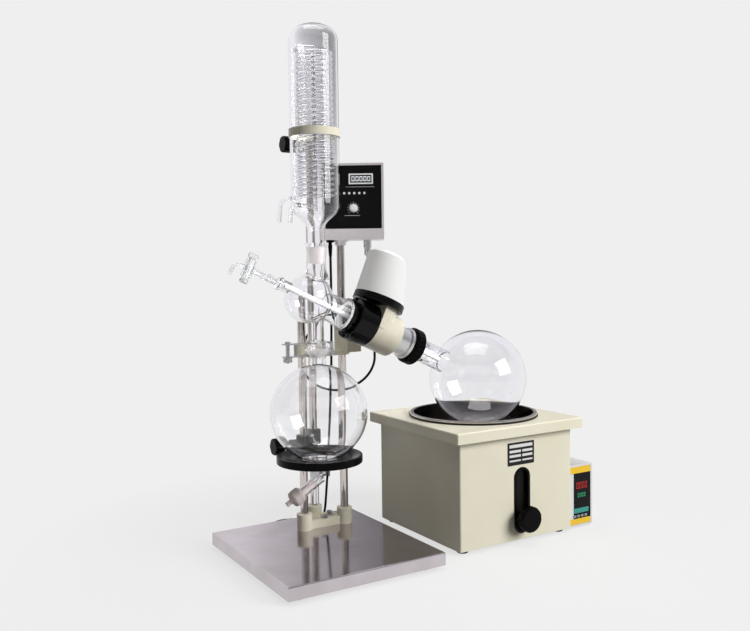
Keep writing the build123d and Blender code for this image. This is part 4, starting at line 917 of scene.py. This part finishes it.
# Control box
class EVAPORATOR_OT_control_box(bpy.types.Operator):
    """Finishes the control box and prints its display and the dial of its speed knob"""
    bl_idname = "evaporator.control_box"
    bl_label = "Control box"

    def execute(self, context):
        dress(anodised_frame(), "control_box", "box_collar")
        dress(panel_film(), "control_panel")
        dress(satin_abs_white(), "display_window", "speed_knob")
        self.display()
        self.dial()
        return {"FINISHED"}

    def display(self):
        # a smoked pane in the white frame, its lower edge 123.15 mm up, with figures on it
        pane = slab(BOX, rounded(46.6, 16.6, 0.8, x=17.0, z=131.5), low=-0.6, high=PANEL_FACE)
        mesh_object("display_pane", pane, smoked_window())
        figures = zeros(
            BOX, 5, x=-3.0, z=126.4, width=6.2, height=10.4, gap=2.4, low=-0.75, high=-0.62,
            thick=1.3)
        white = lit("white_display_segments", "E9EDF0", 0.9)
        mesh_object("display_figures", figures, white, smooth=False)

    def dial(self):
        # ticks round the knob, an arc that widens towards full speed, and plain rules and marks
        knob_z = 68.0
        first, sweep = math.radians(225), math.radians(270)
        outlines = []
        ticks, tick_in, tick_out, tick_half, longer = 10, 11.6, 13.4, 0.35, 1.2
        for i in range(ticks + 1):
            angle = first - sweep * i / ticks
            outer = tick_out + (longer if i % 5 == 0 else 0.0)
            along = Vector((math.cos(angle), math.sin(angle)))
            side = Vector((-along.y, along.x)) * tick_half
            corners = (
                along * tick_in - side, along * outer - side, along * outer + side, along * tick_in + side)
            outlines.append([(corner.x, knob_z + corner.y) for corner in corners])
        steps, arc_radius, arc_start, arc_grows = 40, 10.2, 0.25, 1.0
        outer_arc, inner_arc = [], []
        for i in range(steps + 1):
            angle = first - sweep * i / steps
            inner = arc_radius - arc_start - arc_grows * i / steps
            for arc, radius in ((outer_arc, arc_radius), (inner_arc, inner)):
                arc.append((radius * math.cos(angle), knob_z + radius * math.sin(angle)))
        outlines += [[outer_arc[i], outer_arc[i + 1], inner_arc[i + 1], inner_arc[i]] for i in range(steps)]
        # x, z, width and height of the rules under the display and the dial, and of five marks between them
        marks = [(15.0, 114.4, 62.0, 0.7), (-2.5, 52.5, 34.0, 0.7)]
        marks += [(-19.6 + 11.0 * i, 101.0, 4.4, 4.4) for i in range(5)]
        outlines += [rounded(width, height, 0.3, x, z) for x, z, width, height in marks]
        print_shape = join([slab(BOX, outline, PANEL_FACE, PANEL_FACE + INK) for outline in outlines])
        mesh_object("speed_dial", print_shape, print_white(), smooth=False)


# Water bath
class EVAPORATOR_OT_bath(bpy.types.Operator):
    """Finishes the water bath with its pot, heater, slot and lock knob"""
    bl_idname = "evaporator.bath"
    bl_label = "Water bath"

    def execute(self, context):
        dress(baked_enamel(), "bath_case", "bath_top")
        dress(spun_stainless(), "bath_pot")
        dress(feet_rubber(), "pot_gasket", "bath_feet")
        dress(heater_sheath(), "heating_element")
        dress(phenolic_black(), "lock_knob")
        dress(moulded_black(), "slot_trim")
        self.sleeve()
        self.plate()
        return {"FINISHED"}

    def sleeve(self):
        # the sleeve that slides inside the case is painted black as painted shade, so the slot reads dark
        # as if in shadow; only its faces reach down below the lid's turned edge
        lid_edge = 230.0 * MM
        lid = NODES["bath_top"].data
        lid.materials.append(slot_shade_paint())
        for polygon in lid.polygons:
            if min(lid.vertices[i].co.z for i in polygon.vertices) < lid_edge:
                polygon.material_index = 1

    def plate(self):
        # a thin black plate glued to the front, with empty white fields
        middle_x, middle_z, width, height = 8.7, 199.0, 75, 50
        front, thick, glue = -BATH_HALF_DEPTH, 0.8, 0.02
        plate = slab(BATH, rounded(width, height, 1.5, middle_x, middle_z), front - thick, front - glue)
        mesh_object("bath_plate", plate, plate_black())
        # x, z, width and height of each field: one long one, then a left and a right one in each row
        fields = [(0.0, 17.0, 65.0, 7.0)]
        for row, high in ((5.5, 5.4), (-4.5, 5.4), (-15.0, 3.6)):
            fields += [(-16.5, row, 32.0, high), (18.0, row, 29.0, high)]
        shape = join([
            slab(BATH, rounded(w, h, 0.6, middle_x + x, middle_z + z), front - thick - INK, front - thick)
            for x, z, w, h in fields])
        mesh_object("bath_plate_fields", shape, print_white(), smooth=False)


# The controller stands beside the bath, this far from it, back from its front and off the bench
CONTROLLER_HALF = 38.5
CONTROLLER_GAP = 0.15
CONTROLLER_BACK = 10
CONTROLLER_FOOT = 3
CONTROLLER_FACE = 0.15
CONTROLLER = Matrix.Translation(place(
    BATH, BATH_HALF_WIDTH + CONTROLLER_GAP + CONTROLLER_HALF, CONTROLLER_BACK - BATH_HALF_DEPTH,
    CONTROLLER_FOOT))


# Bath temperature controller
class EVAPORATOR_OT_controller(bpy.types.Operator):
    """Finishes the bath's temperature controller and prints its front"""
    bl_idname = "evaporator.controller"
    bl_label = "Temperature controller"

    def execute(self, context):
        dress(controller_grey(), "controller_case")
        dress(panel_film(), "controller_face")
        dress(key_rubber(), "controller_keys")
        red = lit("red_led_segments", "C8262A", 0.7)
        green = lit("green_led_segments", "2FA070", 0.6)
        low, high = CONTROLLER_FACE - INK, CONTROLLER_FACE
        for name, width, height, x, z, material in (
                ("controller_top_band", 66.4, 15.0, 0.0, 132.3, yellow_band()),
                ("controller_low_band", 66.4, 13.0, 0.0, 11.9, yellow_band()),
                ("controller_margin", 13.0, 106.0, -26.7, 71.6, controller_grey()),
                ("controller_stripe", 46.0, 11.0, 4.0, 37.0, teal_band())):
            shape = slab(CONTROLLER, rounded(width, height, 0.8, x, z), low, high)
            mesh_object(name, shape, material, smooth=False)
        for name, x, z, width, height, gap, material in (
                ("controller_reading", -11.0, 88.0, 6.2, 15.0, 2.6, red),
                ("controller_setting", -7.0, 68.0, 4.4, 10.0, 2.2, green)):
            shape = zeros(CONTROLLER, 4, x, z, width, height, gap, low, high, thick=1.2)
            mesh_object(name, shape, material, smooth=False)
        return {"FINISHED"}


# Floor, lamps and world
class EVAPORATOR_OT_stage(bpy.types.Operator):
    """Makes the floor, the lamps and the light of the room"""
    bl_idname = "evaporator.stage"
    bl_label = "Stage"

    def execute(self, context):
        settings = context.scene.evaporator_stage
        scene = context.scene
        scene.view_settings.view_transform = "Standard"
        self.floor(settings)
        self.world()
        # most of the key light is diffused so far that it leaves no gleam; a fifth of it does
        key = ((2.4, -3.6, 2.2), (0.05, 0.0, 0.45), (2.6, 2.4))
        for name, where, aim, size, share, gleams in (
                ("key_lamp", *key, 0.8, False),
                ("key_gleam", *key, 0.2, True),
                ("side_lamp", (-2.6, -0.6, 1.2), (-0.1, 0.0, 0.5), (0.7, 0.9), 0.006, True),
                ("top_lamp", (-0.2, -0.2, 2.9), (0.0, 0.0, 0.3), (2.0, 1.6), 0.14, False)):
            data = bpy.data.lights.new(name, "AREA")
            data.shape = "RECTANGLE"
            data.size, data.size_y = size
            data.energy = settings.lamp_power * share
            lamp = bpy.data.objects.new(name, data)
            lamp.visible_glossy = gleams
            scene.collection.objects.link(lamp)
            lamp.matrix_world = Matrix.Translation(where) @ (
                Vector(aim) - Vector(where)).to_track_quat("-Z", "Y").to_matrix().to_4x4()
        return {"FINISHED"}

    def backdrop_rays(self, tree):
        """One where a ray comes from the camera, a reflection or through glass."""
        rays = add(tree, "ShaderNodeLightPath")
        total = maths(tree, "ADD", rays.outputs["Is Camera Ray"], rays.outputs["Is Glossy Ray"])
        return maths(tree, "ADD", total, rays.outputs["Is Transmission Ray"], clamp=True)

    def facing(self, tree, direction):
        """How far a ray looks in a direction: one straight at it, minus one straight away."""
        towards = add(tree, "ShaderNodeTexCoord")
        node = add(tree, "ShaderNodeVectorMath", {0: towards.outputs["Generated"]}, operation="DOT_PRODUCT")
        node.inputs[1].default_value = direction
        return node.outputs["Value"]

    def world(self):
        # A pale sweep behind the object; reflections see it fall off into a dim room on the camera's side.
        world = bpy.data.worlds.new("room_light")
        bpy.context.scene.world = world
        world.use_nodes = True
        tree = world.node_tree
        tree.nodes.clear()
        seen = add(tree, "ShaderNodeBackground", Strength=1.0, Color=linear("EFEFEF"))
        light = add(tree, "ShaderNodeBackground", Strength=0.08, Color=linear("FFF5E4"))
        # a dark doorway behind and to the right, which the polished plate mirrors
        behind, door = (0.52, 0.85, 0.0), (0.58, 0.76, 0.29)
        strength = maths(tree, "MULTIPLY", ramp(tree, self.facing(tree, behind), 0.34, 1.0, -0.4, 0.45),
                         ramp(tree, self.facing(tree, door), 1.0, 0.16, 0.965, 0.998))
        sweep = add(tree, "ShaderNodeBackground", {"Strength": strength}, Color=linear("F2F0F4"))
        rays = add(tree, "ShaderNodeLightPath")
        mix = add(tree, "ShaderNodeMixShader", {
            "Fac": self.backdrop_rays(tree), 1: light.outputs[0], 2: seen.outputs[0]})
        both = add(tree, "ShaderNodeMixShader", {
            "Fac": rays.outputs["Is Glossy Ray"], 1: mix.outputs[0], 2: sweep.outputs[0]})
        add(tree, "ShaderNodeOutputWorld", {"Surface": both.outputs[0]})

    def floor(self, settings):
        mesh = bpy.data.meshes.new("floor")
        half = 6.0
        corners = [(-half, -half, 0), (half, -half, 0), (half, half, 0), (-half, half, 0)]
        mesh.from_pydata(corners, [], [(0, 1, 2, 3)])
        floor = bpy.data.objects.new("floor", mesh)
        bpy.context.scene.collection.objects.link(floor)
        # Matt paper that keeps the shadow near the object and turns to the plain backdrop further out;
        # what it throws back on the object is dimmer, as from a small sheet on a dark bench.
        material, tree, surface = shader(
            "matt_backdrop_paper", "EFEFEF", Roughness=0.9, Specular_IOR_Level=0.0)
        surface.inputs["Base Color"].default_value = (*settings.floor, 1.0)
        where = add(tree, "ShaderNodeTexCoord")
        reach = add(tree, "ShaderNodeVectorMath", {0: where.outputs["Object"]}, operation="LENGTH")
        plain = ramp(tree, reach.outputs["Value"], 0.78, 1.0, 0.4, 0.9)
        glow = add(tree, "ShaderNodeEmission", Strength=1.0, Color=linear("EFEFEF"))
        seen = add(tree, "ShaderNodeMixShader", {"Fac": plain, 1: surface.outputs[0], 2: glow.outputs[0]})
        bench = add(tree, "ShaderNodeBsdfDiffuse", Color=linear("666666"))
        mix = add(tree, "ShaderNodeMixShader", {
            "Fac": self.backdrop_rays(tree), 1: bench.outputs[0], 2: seen.outputs[0]})
        tree.links.new(mix.outputs[0], tree.nodes["Material Output"].inputs["Surface"])
        mesh.materials.append(material)


class EVAPORATOR_PT_panel(bpy.types.Panel):
    bl_idname = "EVAPORATOR_PT_panel"
    bl_label = "Rotary evaporator"
    bl_space_type = "VIEW_3D"
    bl_region_type = "UI"
    bl_category = "Evaporator"

    def draw(self, context):
        for name, group in SETTINGS.items():
            box = self.layout.box()
            for setting in group.__annotations__:
                box.prop(getattr(context.scene, name), setting)
        for operator in OPERATORS:
            self.layout.operator(operator.bl_idname)


SETTINGS = {
    "evaporator_stand": StandSettings, "evaporator_cords": CordSettings, "evaporator_stage": StageSettings,
}
OPERATORS = (
    EVAPORATOR_OT_camera, EVAPORATOR_OT_cords, EVAPORATOR_OT_glassware, EVAPORATOR_OT_stand,
    EVAPORATOR_OT_drive_head, EVAPORATOR_OT_control_box, EVAPORATOR_OT_bath, EVAPORATOR_OT_controller,
    EVAPORATOR_OT_stage,
)
CLASSES = (*SETTINGS.values(), *OPERATORS, EVAPORATOR_PT_panel)


def register():
    for cls in CLASSES:
        bpy.utils.register_class(cls)
    for name, group in SETTINGS.items():
        setattr(bpy.types.Scene, name, PointerProperty(type=group))


def unregister():
    for name in SETTINGS:
        delattr(bpy.types.Scene, name)
    for cls in reversed(CLASSES):
        bpy.utils.unregister_class(cls)


def main():
    register()
    bpy.ops.evaporator.camera()
    bpy.ops.evaporator.cords()
    bpy.ops.evaporator.glassware()
    bpy.ops.evaporator.stand()
    bpy.ops.evaporator.drive_head()
    bpy.ops.evaporator.control_box()
    bpy.ops.evaporator.bath()
    bpy.ops.evaporator.controller()
    bpy.ops.evaporator.stage()
    bpy.context.view_layer.update()


if __name__ == "__main__":
    main()
